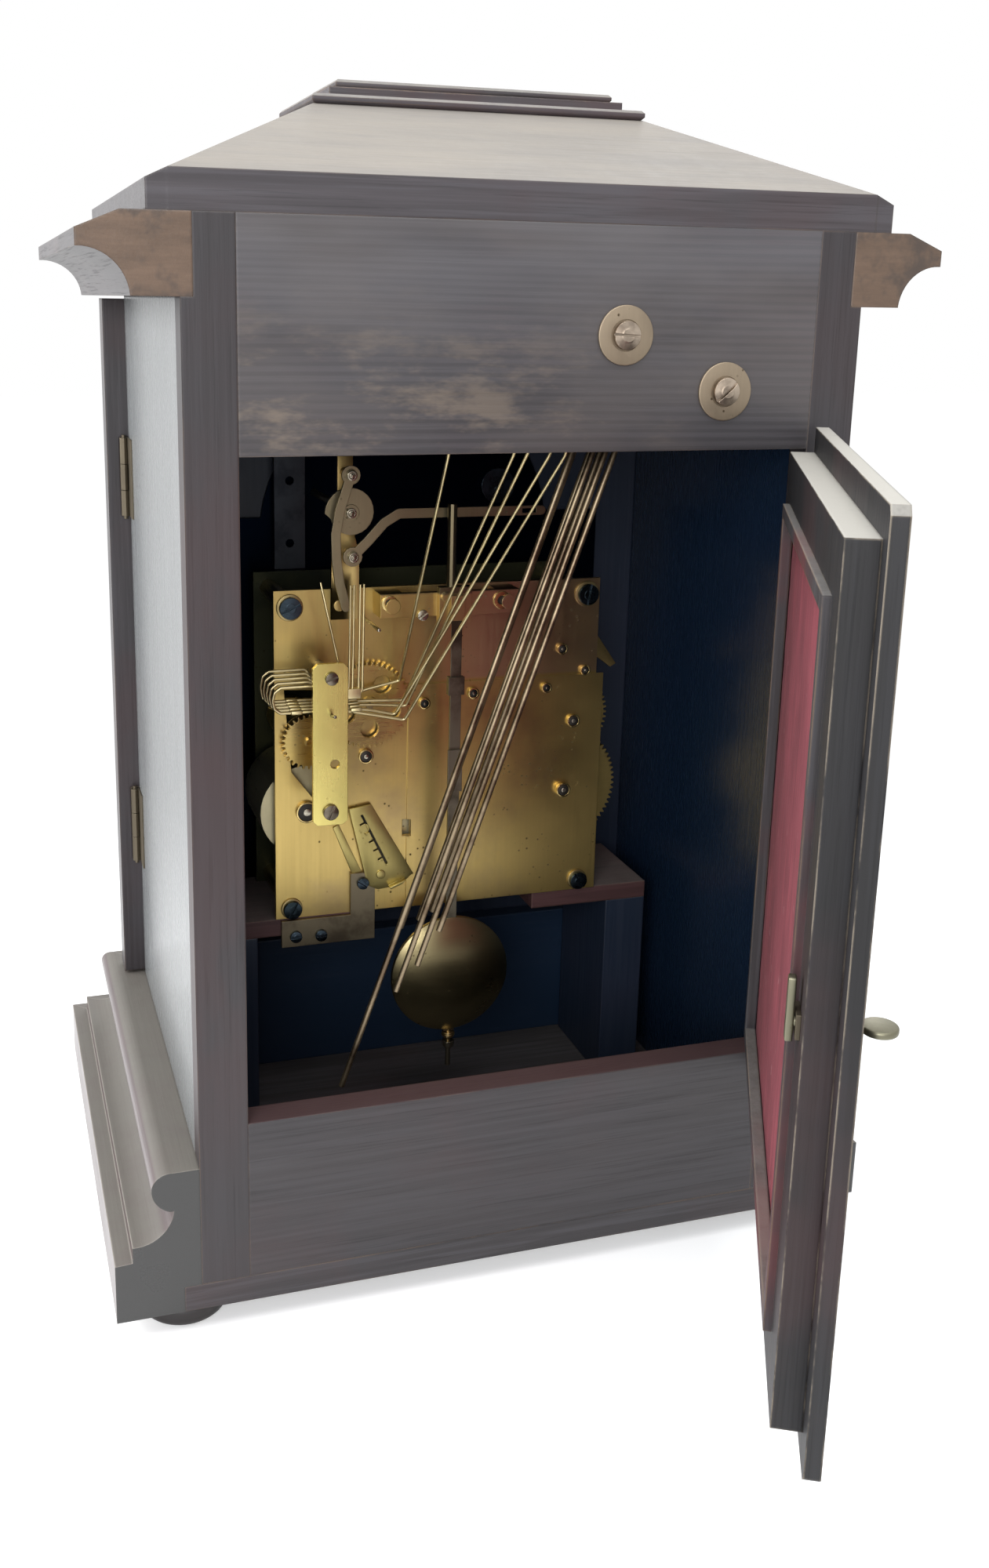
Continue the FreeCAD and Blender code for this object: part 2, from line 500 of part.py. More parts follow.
def movement():
    b, t = BACK, PLATE_T
    x0, x1 = MX - PLATE_X, MX + PLATE_X
    outline = [(x0, PLATE_Z0), (x1, PLATE_Z0), (x1, PLATE_Z1), (x0, PLATE_Z1)]
    plate = prism(outline, "y", b - t, b)
    window = prism([(90, 283), (74, 282), (66, 268), (66, 240), (74, 220), (86, 236)], "y",
                   b - 9, b + 2)
    bores = [bore(GREAT[0], b - 9, b + 9, GREAT[1], 3), cyl(DRUM[0], b - 9, b + 9, DRUM[1], 8, True)]
    slot = box(17.5, 22.3, b - 9, b + 2, 193, 203)
    for c in bores + [window, slot]:
        plate = plate.cut(c)
    low = box(-97, 20, b, b + 1, PLATE_Z0, 282).cut(slot)
    low = low.cut(bore(GREAT[0], b - 1, b + 9, GREAT[1], 3))
    save("back_plate", plate, low)
    front = prism(outline, "y", FRONT_PLATE, FRONT_PLATE + t)
    for x, z in (GREAT, (76, 211), (0, 196)):
        front = front.cut(bore(x, FRONT_PLATE - 1, FRONT_PLATE + t + 1, z, 4.0))
    save("front_plate", front)
    corners = ((86.7, 328.4), (-84.9, 328.8), (86.4, 155.9), (-85.7, 156.4))
    pillars = [cyl(x, b - t, FRONT_PLATE + t, z, 5.0) for x, z in corners]
    heads, washers = [], []
    for n, (x, z) in enumerate(corners):
        top = b if x > 20 or z > 282 else b + 1
        washers.append(cyl(x, top, top + 1.2, z, 5.9 if z < 160 else 7.3))
        head = cyl(x, top + 1.2, top + 4.2, z, 5.2 if z < 160 else 6.0)
        heads.append(head.cut(turned(box(x - 9, x + 9, top + 3.2, top + 9, z - 0.55, z + 0.55),
                                     (x, 0, z), (0, 1, 0), 20 + 47 * n)))
    for x, z, y in ((84.7, 139.8, b + 2.5), (70.2, 139.1, b + 2.5), (46.0, 168.0, b + 2.5)):
        heads.append(cyl(x, y, y + 2.2, z, 3.4).cut(box(x - 5, x + 5, y + 1.5, y + 3, z - 0.4, z + 0.4)))
    save("plate_screws", *heads, *washers)
    pins = []
    for x, z, r in PIVOTS:
        top = b + 1 if x < 20 and z < 282 else b
        pins.append(cyl(x, top, top + 1.6, z, r))
    pins.append(cyl(GREAT[0], -150.5, b + 4, GREAT[1], 3.0))
    pins.append(cyl(SECOND[0], b + 1, b + 2.4, SECOND[1], 2.6))
    pins.append(cyl(SECOND[0], b - t, -192.9, SECOND[1], 1.2))
    pins.append(cyl(CHIME[0], b, -128.2, CHIME[1], 1.8))
    pins.append(cyl(DRUM[0], -192.4, -192.9, DRUM[1], 2.5))
    save("pillars_pivots", *pillars, *pins)
    barrels = []
    for (x, z), r, y0, y1 in (((76.0, 211.0), 26.5, -141.0, -188.0), ((0.0, 196.0), 33.0, -141.0, -188.0)):
        barrels.append(cyl(x, y0, y1, z, r, n=36).fuse(cyl(x, b - t, y0, z, 4.0)).fuse(
            cyl(x, y1, FRONT_PLATE - 13.0, z, 4.0)).fuse(box(x - 2.2, x + 2.2, -209, -214.6, z - 2.2, z + 2.2)))
    x, z = GREAT
    barrels.append(cyl(x, -150.5, -188, z, 33.0, n=36).fuse(cyl(x, -188, FRONT_PLATE - 13.0, z, 4.0)).fuse(
        box(x - 2.2, x + 2.2, -209, -214.6, z - 2.2, z + 2.2)))
    save("spring_barrels", *barrels)


def cocks():
    b = BACK
    bar = box(-38, 40, -123, -119, 323.5, 336.5)
    for x in (-31.5, 34.1):
        bar = bar.fuse(box(x - 6.5, x + 6.5, b, -119, 323.5, 336.5))
    block = box(-9, 9.3, -119, -114, 320.5, 340.0)
    bar = bar.fuse(block).fuse(box(-4, 4, -114, -110, PEND_Z + 0.35, 336.0))
    save("back_cock", bar, post(2.3, -116.4, 340.0, 384.5, 2.6),
         *[cyl(x, -119, -117, 330, 4.2) for x in (-31.5, 34.1)], cyl(5.8, -114, -112.4, 335.0, 2.6))
    cock = prism([(49, 321), (64.2, 321), (64.2, 357), (61, 372), (61, 409), (52.5, 409), (52.5, 372),
                  (49, 357)], "y", b, b + 2).cut(bore(SUB_X, b - 1, b + 3, SUB_Z, 2.0))
    brackets = [cock,
                cyl(57.4, b + 2, -119.1, 400.5, 2.4), cyl(55.5, b + 2, -122.4, 357.0, 2.4),
                cyl(60.2, b + 2, b + 4, 329, 3.2)]
    x0, x1, z0, z1 = 62.0, 81.0, 215.0, 304.0
    bridge = box(x0, x1, -106.5, -104, z0, z1)
    bridge = bridge.makeChamfer(2.5, [e for e in bridge.Edges if abs(e.tangentAt(0).y) > 0.5])
    save("hammer_bridge", bridge.cut(cyl(69, -110, -100, 249, 2.6)))
    heads = [cyl(71, b, -106.5, 296, 3.0), cyl(71.5, b, -106.5, 222, 3.0),
             cyl(STUD[0], b, -106.5, STUD[1], 1.5),
             cyl(71, -104, -101.6, 296, 4.2), cyl(71.5, -104, -101.6, 222.4, 4.2),
             turned(cyl(70.7, -105, -96.5, 275.5, 0.9), (70.7, -104, 275.5), (1, 0, 0), 12).cut(
                 box(x0, x1, -106.5, -104, z0, z1))]
    save("bridge_fixings", *heads)
    bracket = box(38.8, 52.9, b, b + 2.5, 133.6, 174).fuse(box(52.9, 92.7, b, b + 2.5, 133.6, 149.3))
    save("seat_bracket", bracket)
    fold = prism([(58, 202), (40.8, 214.5), (24, 186), (15.4, 170.6), (22, 163), (30, 166),
                  (38.3, 163.0), (38.3, 174.6), (44.6, 177)], "y", b + 1, b + 2.8)
    brackets.append(fold.fuse(box(30, 34, b + 2.8, b + 9, 184, 197)).fuse(
        cyl(45, b, b + 1, 200, 3.0)))
    lever = prism([(-96.5, 305), (-112.0, 283), (-108.5, 281), (-96.5, 290)], "y", -150, -152)
    brackets.append(lever.fuse(box(-96.5, MX - PLATE_X, -150, -152, 290, 305)).fuse(
        box(MX - PLATE_X, MX - PLATE_X + 6, -140, -152, 290, 305)).fuse(
        box(MX - PLATE_X, MX - PLATE_X + 6, BACK - PLATE_T, -140, 290, 305)))
    save("brass_brackets", *brackets)
    wires = [box(54.2, 66.0, -111.1, -106.5, 283.5, 289.0)]
    for n, x in enumerate((56.0, 59.0, 61.8)):
        wires.append(rod((x, -107.6 - n, 289.0), (x - 0.4, -107.6 - n, 347.0), 0.5))
    save("spring_wires", *wires)


def dial():
    y = DIAL_Y
    plate = prism(arch_outline(DIAL_X, DIAL_Z0, DIAL_R), "y", y - 2, y)
    for x, z, r in ((*GREAT, 5.0), (76, 211, 5.0), (0, 196, 5.0), (*HAND, 5.0),
                    (SUB_X, SUB_Z, 2.0), (-SUB_X, SUB_Z, 2.0)):
        plate = plate.cut(bore(x, y - 3, y + 1, z, r))
    save("dial_plate", plate)
    ring = cyl(HAND[0], y - 2, y - 3.5, HAND[1], 112, n=60).cut(
        cyl(HAND[0], y - 1, y - 5, HAND[1], 88, n=60))
    subs = [cyl(s * SUB_X, y - 2, y - 3.2, SUB_Z, 21, n=24).cut(
        cyl(s * SUB_X, y, y - 5, SUB_Z, 12, n=24)) for s in (1, -1)]
    save("dial_rings", ring, *subs)
    feet = [cyl(x, FRONT_PLATE, y, z, 3.2) for x, z in ((-86, 160), (88, 160), (-86, 328), (88, 328))]
    strip = box(63, 81, -205, -202.5, 337, 405)
    for z in (352, 388):
        strip = strip.cut(cyl(72, -210, -200, z, 2.5))
    feet.append(strip.fuse(box(63, 81, y, -205, 337, 343)))
    feet.append(cyl(0, FRONT_PLATE, -219.6, HAND[1], 2.0))
    save("dial_feet", *feet)
    minute = cyl(0, -213.6, -219.2, HAND[1], 3.0)
    blade = prism([(-2.2, 244), (-1.0, 258), (-2.6, 300), (0, 340), (2.6, 300), (1.0, 258),
                   (2.2, 244), (2, 226), (-2, 226)], "y", -219.2, -218.2)
    save("minute_hand", minute.fuse(blade).cut(bore(0, -210, -222, HAND[1], 2, 0)))
    hour = cyl(0, -211.5, -217.0, HAND[1], 4.2)
    blade = prism([(0, 240.5), (20, 242), (38, 236), (50, 244), (66, 244.8), (50, 246.5), (38, 253),
                   (20, 246.5), (0, 247.5)], "y", -217.0, -216.0)
    hour = hour.fuse(turned(blade, (0, 0, 244), (0, 1, 0), -25))
    save("hour_hand", hour.cut(bore(0, -210, -222, HAND[1], 3, 0)))
    cam_hand(SUB_X, "reg_cam", True)
    cam_hand(-SUB_X, "chime_hand", False)


def cam_hand(x, name, cam):
    """A small dial hand; the +X one carries the regulation cam at the back of the movement."""
    z = SUB_Z
    hand = prism([(x - 1.4, z), (x, z + 17), (x + 1.4, z), (x + 1, z - 6), (x - 1, z - 6)], "y",
                 -215.8, -215.0)
    hand = hand.fuse(cyl(x, -213.2, -216.6, z, 2.8))
    if cam:
        snail = []
        for k in range(24):
            a = 2 * math.pi * k / 24
            r = 14.0 - 3.0 * k / 24
            snail.append((x + r * math.cos(a), z + r * math.sin(a)))
        body = hand.fuse(cyl(x, -123.6, -215, z, 2.0, n=0)).fuse(prism(snail, "y", -126, -123.6))
        save(name, body.fuse(cyl(x, -122.8, -123.6, z, 4.5)))
    else:
        save(name, hand.fuse(cyl(x, -206.5, -215, z, 2.0, n=0)).fuse(
            cyl(x, -207.0, -209.5, z + 2, 10.5, n=16)))


def levers():
    pts = [(57.4, 400.5), (63.4, 381.9), (65.5, 369.7), (65.1, 356.8), (63.4, 343.8), (59.9, 330.8)]
    save("selector_lever", strap(pts, 5.0, -119.0, -117.4, (57.4, 400.5), 5.0, 0.0).fuse(
        cyl(57.4, -117.4, -116.2, 400.5, 3.0, n=0)))
    pts = [(55.5, 357.0), (47, 365.3), (38.5, 374.6), (30.3, 379.4), (-50, 379.2)]
    arm = strap(pts, 5.2, -122.3, -120.8, (55.5, 357.0), 5.2, 0.0)
    arm = arm.cut(box(-47, -39, -125, -118, 378.0, 380.4))
    save("lift_arm", arm.fuse(cyl(55.5, -120.8, -119.8, 357.0, 3.0, n=0)))


def strap(points, width, y0, y1, pivot, boss, bore):
    """A flat lever that follows points, with a boss at its pivot."""
    out = cyl(pivot[0], y0, y1, pivot[1], boss)
    for (ax, az), (bx, bz) in zip(points, points[1:]):
        length, way = math.hypot(bx - ax, bz - az), math.degrees(math.atan2(bz - az, bx - ax))
        bar = box(ax, ax + length, y0, y1, az - width / 2, az + width / 2)
        out = out.fuse(turned(bar, (ax, 0, az), (0, 1, 0), -way)).fuse(cyl(bx, y0, y1, bz, width / 2))
    return out.removeSplitter()


def pendulum():
    y = PEND_Y
    spring = box(-3, 3, y - 0.3, y + 0.3, 290.5, PEND_Z)
    chop = box(-4.5, 4.5, y - 2, y + 2, 281, 291)
    rim = BOB_Z - BOB_R
    flat = box(-3.1, 3.1, y - 1.0, y + 1.0, rim - 1.0, 281)
    low = post(0, y, rim - 23.0, rim - 1.0, 1.5)
    collar = post(0, y, rim - 10.4, rim - 7.4, 3.5).fuse(post(0, y, rim - 11.4, rim - 10.4, 2.6))
    crutch = box(-4.1, 4.1, y + 1.0, y + 2.4, 226, 250)
    rod_all = flat.fuse(chop).fuse(low).fuse(collar)
    save("pendulum_rod", rod_all, spring.cut(chop), crutch)
    half = BOB_T / 2
    side = [(BOB_R * 0.32, half * 0.94), (BOB_R * 0.75, half * 0.6), (BOB_R, 1.6)]
    rows = side + [(r, -t) for r, t in reversed(side)]
    bob = stack(rows, 40, lambda u, v, h: V(u, y + h, BOB_Z + v))
    save("pendulum_bob", bob.cut(rod_all))
    nut = post(0, y, rim - 4.6, rim - 1.8, 3.6)
    save("rating_nut", nut.cut(post(0, y, rim - 12, rim + 3, 1.5 + FIT, n=0)))


HAMMERS = (((27.6, -126.5, 286.8), (26.7, -50.0, 417.4), (24.0, -46.0, 438.0)),
           ((26.3, -123.0, 276.5), (-7.6, -53.0, 416.6), (-12.0, -46.0, 440.0)),
           ((25.9, -119.5, 274.3), (-13.4, -50.0, 416.8), (-20.5, -36.0, 446.0)),
           ((32.9, -116.0, 270.8), (-25.3, -50.4, 416.3), (-32.5, -51.5, 434.0)),
           ((28.6, -112.5, 268.4), (-32.6, -47.6, 416.6), (-36.5, -41.5, 449.0)))


def hammers():
    for n, (bend, top, head) in enumerate(HAMMERS):
        y = bend[1]
        collar = cyl(STUD[0], y - 1.4, y + 1.4, STUD[1], 4.0)
        way = math.atan2(bend[2] - STUD[1], bend[0] - STUD[0])
        start = (STUD[0] + 3.4 * math.cos(way), y, STUD[1] + 3.4 * math.sin(way))
        stem = wire_rod([start, bend, top, head], 0.85)
        ferrule = rod([(0.78 * a + 0.22 * b) for a, b in zip(start, bend)],
                      [(0.55 * a + 0.45 * b) for a, b in zip(start, bend)], 1.5)
        tip = rod((head[0] - 3.0, head[1], head[2] - 2.0), (head[0] + 3.6, head[1], head[2] + 2.4), 2.8)
        body = collar.fuse(stem).fuse(ferrule).fuse(tip)
        save(f"hammer_{n + 1}", body.cut(bore(STUD[0], y - 5, y + 5, STUD[1], 1.5, 0)))


case()
interior()
rear_leaf, front_leaf = hinges()
rear_door(rear_leaf)
front_door(front_leaf)
wheels()
movement()
cocks()
dial()
levers()
pendulum()
hammers()
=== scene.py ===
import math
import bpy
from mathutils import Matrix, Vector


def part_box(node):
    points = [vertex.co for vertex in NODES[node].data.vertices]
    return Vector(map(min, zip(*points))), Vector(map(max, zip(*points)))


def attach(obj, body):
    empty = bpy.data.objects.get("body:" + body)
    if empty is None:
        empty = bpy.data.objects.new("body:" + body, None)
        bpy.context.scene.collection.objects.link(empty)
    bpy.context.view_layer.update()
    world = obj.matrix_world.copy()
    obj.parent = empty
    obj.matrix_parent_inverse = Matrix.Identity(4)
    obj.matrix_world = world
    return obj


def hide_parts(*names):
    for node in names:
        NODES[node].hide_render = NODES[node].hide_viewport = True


bl_info = {
    "name": "Bracket Clock",
    "version": (1, 0, 0),
    "blender": (4, 5, 0),
    "location": "View3D > Sidebar > Clock",
    "description": "Dresses the packed clock in its wood, brass, cloth and small turned parts",
    "category": "Add Mesh",
}

import bpy
from bpy.props import FloatProperty, FloatVectorProperty, IntProperty, PointerProperty
from mathutils import Matrix, Vector

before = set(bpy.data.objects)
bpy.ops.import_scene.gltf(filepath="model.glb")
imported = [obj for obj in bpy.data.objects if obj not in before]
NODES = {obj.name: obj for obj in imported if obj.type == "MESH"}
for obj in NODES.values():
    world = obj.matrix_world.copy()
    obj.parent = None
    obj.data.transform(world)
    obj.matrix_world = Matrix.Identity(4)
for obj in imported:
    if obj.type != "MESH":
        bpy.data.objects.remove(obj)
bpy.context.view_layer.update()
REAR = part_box("rear_stiles")[1].y    # the plane of the case's rear face, in metres

# Places are in millimetres: x from the middle, y from the rear face and z from the table.
DOOR_HINGE = (-142.0, 3.0)           # x and y of the rear door's hinge line
DOOR_OPEN = 62.8                     # degrees
PLATE = -135.0                       # y of the back plate's rear face
LOWER_PLATE = PLATE + 1              # y of the proud lower plate's rear face
COCK = -119.0                        # y of the back cock's rear face
BRIDGE = -104.0                      # y of the hammer bridge's rear face
STUD = (71.0, 284.0)                 # x and z of the stud that carries the hammers
DIAL = -214.5                        # y of the chapter ring's face
DIAL_HEIGHT = 244.0
GONG_HEIGHT = 418                    # where the x of each gong rod is given
GONG_LEAN = 0.333 / 0.943
GONG_RODS = ((-30.5, 99.0, -36.0), (-41.5, 148.0, -36.0), (-48.0, 161.0, -36.0),
             (-53.0, 178.5, -36.0), (-36.0, 178.0, -46.0), (-44.5, 181.0, -46.0),
             (-50.0, 185.0, -46.0))  # x, z of the lower end, y
# Where each hammer's wire leaves its loop, where it bends again, and its head.
HAMMERS = (((27.6, -126.5, 286.8), (26.7, -50.0, 417.4), (24.0, -46.0, 438.0)),
           ((26.3, -123.0, 276.5), (-7.6, -53.0, 416.6), (-12.0, -46.0, 440.0)),
           ((25.9, -119.5, 274.3), (-13.4, -50.0, 416.8), (-20.5, -36.0, 446.0)),
           ((32.9, -116.0, 270.8), (-25.3, -50.4, 416.3), (-32.5, -51.5, 434.0)),
           ((28.6, -112.5, 268.4), (-32.6, -47.6, 416.6), (-36.5, -41.5, 449.0)))


def at(x, y, z):
    """A point given in millimetres, with Y counted from the rear face."""
    return Vector((x / 1000, REAR + y / 1000, z / 1000))


# --- modelling
def mode(name):
    bpy.ops.object.mode_set(mode=name)


def clear_selection():
    if bpy.context.mode != "OBJECT":
        mode("OBJECT")
    bpy.ops.object.select_all(action="DESELECT")


def only(obj):
    clear_selection()
    obj.select_set(True)
    bpy.context.view_layer.objects.active = obj
    return obj


def settle(obj):
    """Puts the object at the origin with its place in its mesh."""
    only(obj)
    bpy.ops.object.transform_apply(location=True, rotation=True, scale=True)
    return obj


def turned_about(obj, pivot, degrees, axis="Y"):
    obj.matrix_world = (Matrix.Translation(pivot) @ Matrix.Rotation(math.radians(degrees), 4, axis)
                        @ Matrix.Translation(-pivot) @ obj.matrix_world)
    return settle(obj)


def opened(obj):
    """Swings a piece made in the closed door out to the door's place."""
    return turned_about(obj, at(*DOOR_HINGE, 0), DOOR_OPEN, "Z")


def apply_modifier(obj, kind, **values):
    only(obj)
    mod = obj.modifiers.new(kind.title(), kind)
    for key, value in values.items():
        setattr(mod, key, value)
    bpy.ops.object.modifier_apply(modifier=mod.name)
    return obj


def rounded(obj, width, steps, degrees):
    """Rounds the edges that turn by more than some degrees, over a width in millimetres."""
    if width:
        apply_modifier(obj, "BEVEL", width=width / 1000, segments=steps, limit_method="ANGLE",
                       angle_limit=math.radians(degrees))
    return obj


def cut_away(obj, cutter):
    """Cuts the second piece out of the first."""
    apply_modifier(obj, "BOOLEAN", operation="DIFFERENCE", object=cutter, solver="EXACT")
    bpy.data.objects.remove(cutter)
    return obj


def turned_bar(start, end, radius, sides=32, round_over=0, steps=2):
    """A turned bar between two points, with its end edges rounded."""
    clear_selection()
    way = end - start
    bpy.ops.mesh.primitive_cylinder_add(vertices=sides, radius=radius / 1000, depth=way.length,
                                        location=(start + end) / 2,
                                        rotation=way.to_track_quat("Z", "Y").to_euler())
    return rounded(settle(bpy.context.object), round_over, steps, 50)


def along_y(x, y0, y1, z, *shape):
    return turned_bar(at(x, y0, z), at(x, y1, z), *shape)


def upright(x, y, z0, z1, *shape):
    return turned_bar(at(x, y, z0), at(x, y, z1), *shape)


def block(x0, x1, y0, y1, z0, z1, round_over=0, steps=2):
    """A squared piece between two corners, with its edges rounded."""
    clear_selection()
    low, high = at(x0, y0, z0), at(x1, y1, z1)
    bpy.ops.mesh.primitive_cube_add(size=1, location=(low + high) / 2)
    obj = bpy.context.object
    obj.scale = high - low
    return rounded(settle(obj), round_over, steps, 40)


def plate(outline, y0, y1):
    """A flat convex plate; its outline is (x, z) corners, cut from a block edge by edge."""
    xs, zs = [c[0] for c in outline], [c[1] for c in outline]
    obj = only(block(min(xs), max(xs), y0, y1, min(zs), max(zs)))
    middle = Vector((sum(xs) / len(xs), 0, sum(zs) / len(zs)))
    mode("EDIT")
    for (ax, az), (bx, bz) in zip(outline, outline[1:] + outline[:1]):
        out = Vector((bz - az, 0, ax - bx))
        if out.dot(Vector((ax, 0, az)) - middle) < 0:
            out = -out
        bpy.ops.mesh.select_all(action="SELECT")
        bpy.ops.mesh.bisect(plane_co=tuple(at(ax, y0, az)), plane_no=tuple(out.normalized()),
                            use_fill=True, clear_outer=True, threshold=1e-7)
    mode("OBJECT")
    return rounded(obj, 0.25, 2, 20)


def domed(obj, x, y, z, side, steps):
    """Swells a turned piece's end face; each step is a rise in millimetres and a scale."""
    only(obj)
    mode("EDIT")
    bpy.ops.mesh.select_mode(type="FACE")
    bpy.ops.mesh.select_all(action="DESELECT")
    mode("OBJECT")
    for face in obj.data.polygons:
        face.select = face.normal.y * side > 0.9
    mode("EDIT")
    for rise, share in steps:
        bpy.ops.mesh.extrude_region_move(
            TRANSFORM_OT_translate={"value": (0, side * rise / 1000, 0)})
        bpy.ops.transform.resize(value=(share, 1, share), center_override=tuple(at(x, y, z)))
    mode("OBJECT")


def wire(points, radius):
    """A bent wire through points in millimetres; each bend is a short curve."""
    longest, share = 9, 0.35    # of a straight run that a bend may take
    rows = [points[0]]
    for before, here, after in zip(points, points[1:], points[2:]):
        a, b, c = Vector(before), Vector(here), Vector(after)
        reach = min((a - b).length, (c - b).length, longest) * share
        rows += [b + (a - b).normalized() * reach, b, b + (c - b).normalized() * reach]
    rows.append(points[-1])
    clear_selection()
    bpy.ops.curve.primitive_nurbs_path_add()
    obj = bpy.context.object
    obj.location = (0, 0, 0)
    curve = obj.data
    curve.splines.clear()
    spline = curve.splines.new("NURBS")
    spline.points.add(len(rows) - 1)
    for point, row in zip(spline.points, rows):
        point.co = (*at(*row), 1)
    spline.order_u = 3
    spline.use_endpoint_u = True
    curve.dimensions = "3D"
    curve.resolution_u = 5
    curve.bevel_depth = radius / 1000
    curve.bevel_resolution = 3
    curve.use_fill_caps = True
    only(obj)
    bpy.ops.object.convert(target="MESH")
    return bpy.context.object


def pivot(x, y, z, radius, height):
    """A pivot's raised ring, the dark oil sink in it, and the bright end of the pin."""
    ring = along_y(x, y - 0.2, y + height + 0.3, z, radius + 1.3, 40, 0.25)
    ring = cut_away(ring, along_y(x, y + 0.1, y + height + 2, z, radius + 0.3, 40))
    sink = along_y(x, y - 0.1, y + height, z, radius + 0.14, 32, 0.1)
    pin = along_y(x, y, y + height + 0.5, z, max(radius * 0.45, 0.7), 28, 0.2)
    return ring, sink, pin


def slotted_screw(x, y0, y1, z, radius, turn, dome=0):
    """A cheese-head screw on a face, with its slot turned by some degrees."""
    head = along_y(x, y0, y1, z, radius, 40, 0.35)
    if dome:
        domed(head, x, y1, z, 1, [(dome * share, 0.78) for share in (0.45, 0.35, 0.2)])
    slit = block(x - radius - 1, x + radius + 1, y1 - 0.9, y1 + dome + 2, z - 0.55, z + 0.55)
    return cut_away(head, turned_about(slit, at(x, y0, z), turn))


def joined(pieces):
    clear_selection()
    for piece in pieces:
        piece.select_set(True)
    bpy.context.view_layer.objects.active = pieces[0]
    if len(pieces) > 1:
        bpy.ops.object.join()
    return pieces[0]


def finished(pieces, name, body, slot, material, *stands_for, angle=35):
    """Joins a piece's parts, smooths it, and gives it its name, finish and body."""
    obj = settle(joined(pieces))
    obj.name = name
    bpy.ops.object.shade_smooth_by_angle(angle=math.radians(angle))
    obj.data.materials.clear()
    obj.data.materials.append(material)
    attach(obj, body)
    if stands_for:
        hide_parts(*stands_for)
    return obj


def dress(material, *names):
    """Gives CAD nodes a finish by their material slots."""
    for name in names:
        obj = NODES[name]
        if not obj.material_slots:
            obj.data.materials.append(material)
        for slot in obj.material_slots:
            slot.material = material


# --- materials
def maths(operation, reflected=False):
    """A method that puts one Math node after a value."""
    def method(self, *other):
        args = (*other, self) if reflected else (self, *other)
        return self.nodes.value("Math", dict(enumerate(args)), operation=operation)
    return method


class Value:
    """A shader value; ordinary arithmetic on it adds Math nodes."""

    def __init__(self, nodes, socket):
        self.nodes, self.socket = nodes, socket

    __add__, __radd__ = maths("ADD"), maths("ADD", True)
    __sub__, __rsub__ = maths("SUBTRACT"), maths("SUBTRACT", True)
    __mul__, __rmul__ = maths("MULTIPLY"), maths("MULTIPLY", True)
    __pow__, __abs__ = maths("POWER"), maths("ABSOLUTE")
    larger, sine = maths("MAXIMUM"), maths("SINE")

    def above(self, edge, soft):
        """0 below the edge and 1 above it, over a soft width."""
        return self.nodes.value("MapRange", {"Value": self, "From Min": edge - soft,
                                             "From Max": edge + soft},
                                interpolation_type="SMOOTHSTEP")

    def below(self, edge, soft):
        return 1 - self.above(edge, soft)


class Nodes:
    """A tree of shader nodes, built one node at a time."""

    def __init__(self, owner):
        owner.use_nodes = True
        self.tree = owner.node_tree
        self.tree.nodes.clear()

    def plug(self, socket, value):
        """Links a value to a socket, or writes a plain number or colour in it."""
        value = value.socket if isinstance(value, Value) else value
        if isinstance(value, bpy.types.NodeSocket):
            self.tree.links.new(value, socket)
        elif hasattr(value, "__len__"):
            socket.default_value = (*value, 1)[:len(socket.default_value)]
        else:
            socket.default_value = value

    def node(self, kind, inputs=None, stops=(), **settings):
        new = self.tree.nodes.new("ShaderNode" + kind)
        for key, value in settings.items():
            setattr(new, key, value)
        for _ in stops[2:]:
            new.color_ramp.elements.new(0.5)
        for k, (where, colour) in enumerate(stops):
            element = new.color_ramp.elements[k]
            element.position, element.color = where, (*colour, 1)
        for key, value in (inputs or {}).items():
            self.plug(new.inputs[key], value)
        return new

    def value(self, kind, inputs=None, output=0, **settings):
        return Value(self, self.node(kind, inputs, **settings).outputs[output])

    def in_view(self):
        """1 for what the camera sees, straight or by way of metal and glass."""
        rays = self.node("LightPath").outputs
        camera, glossy, through = (Value(self, rays[f"Is {kind} Ray"])
                                   for kind in ("Camera", "Glossy", "Transmission"))
        return camera.larger(glossy).larger(through)


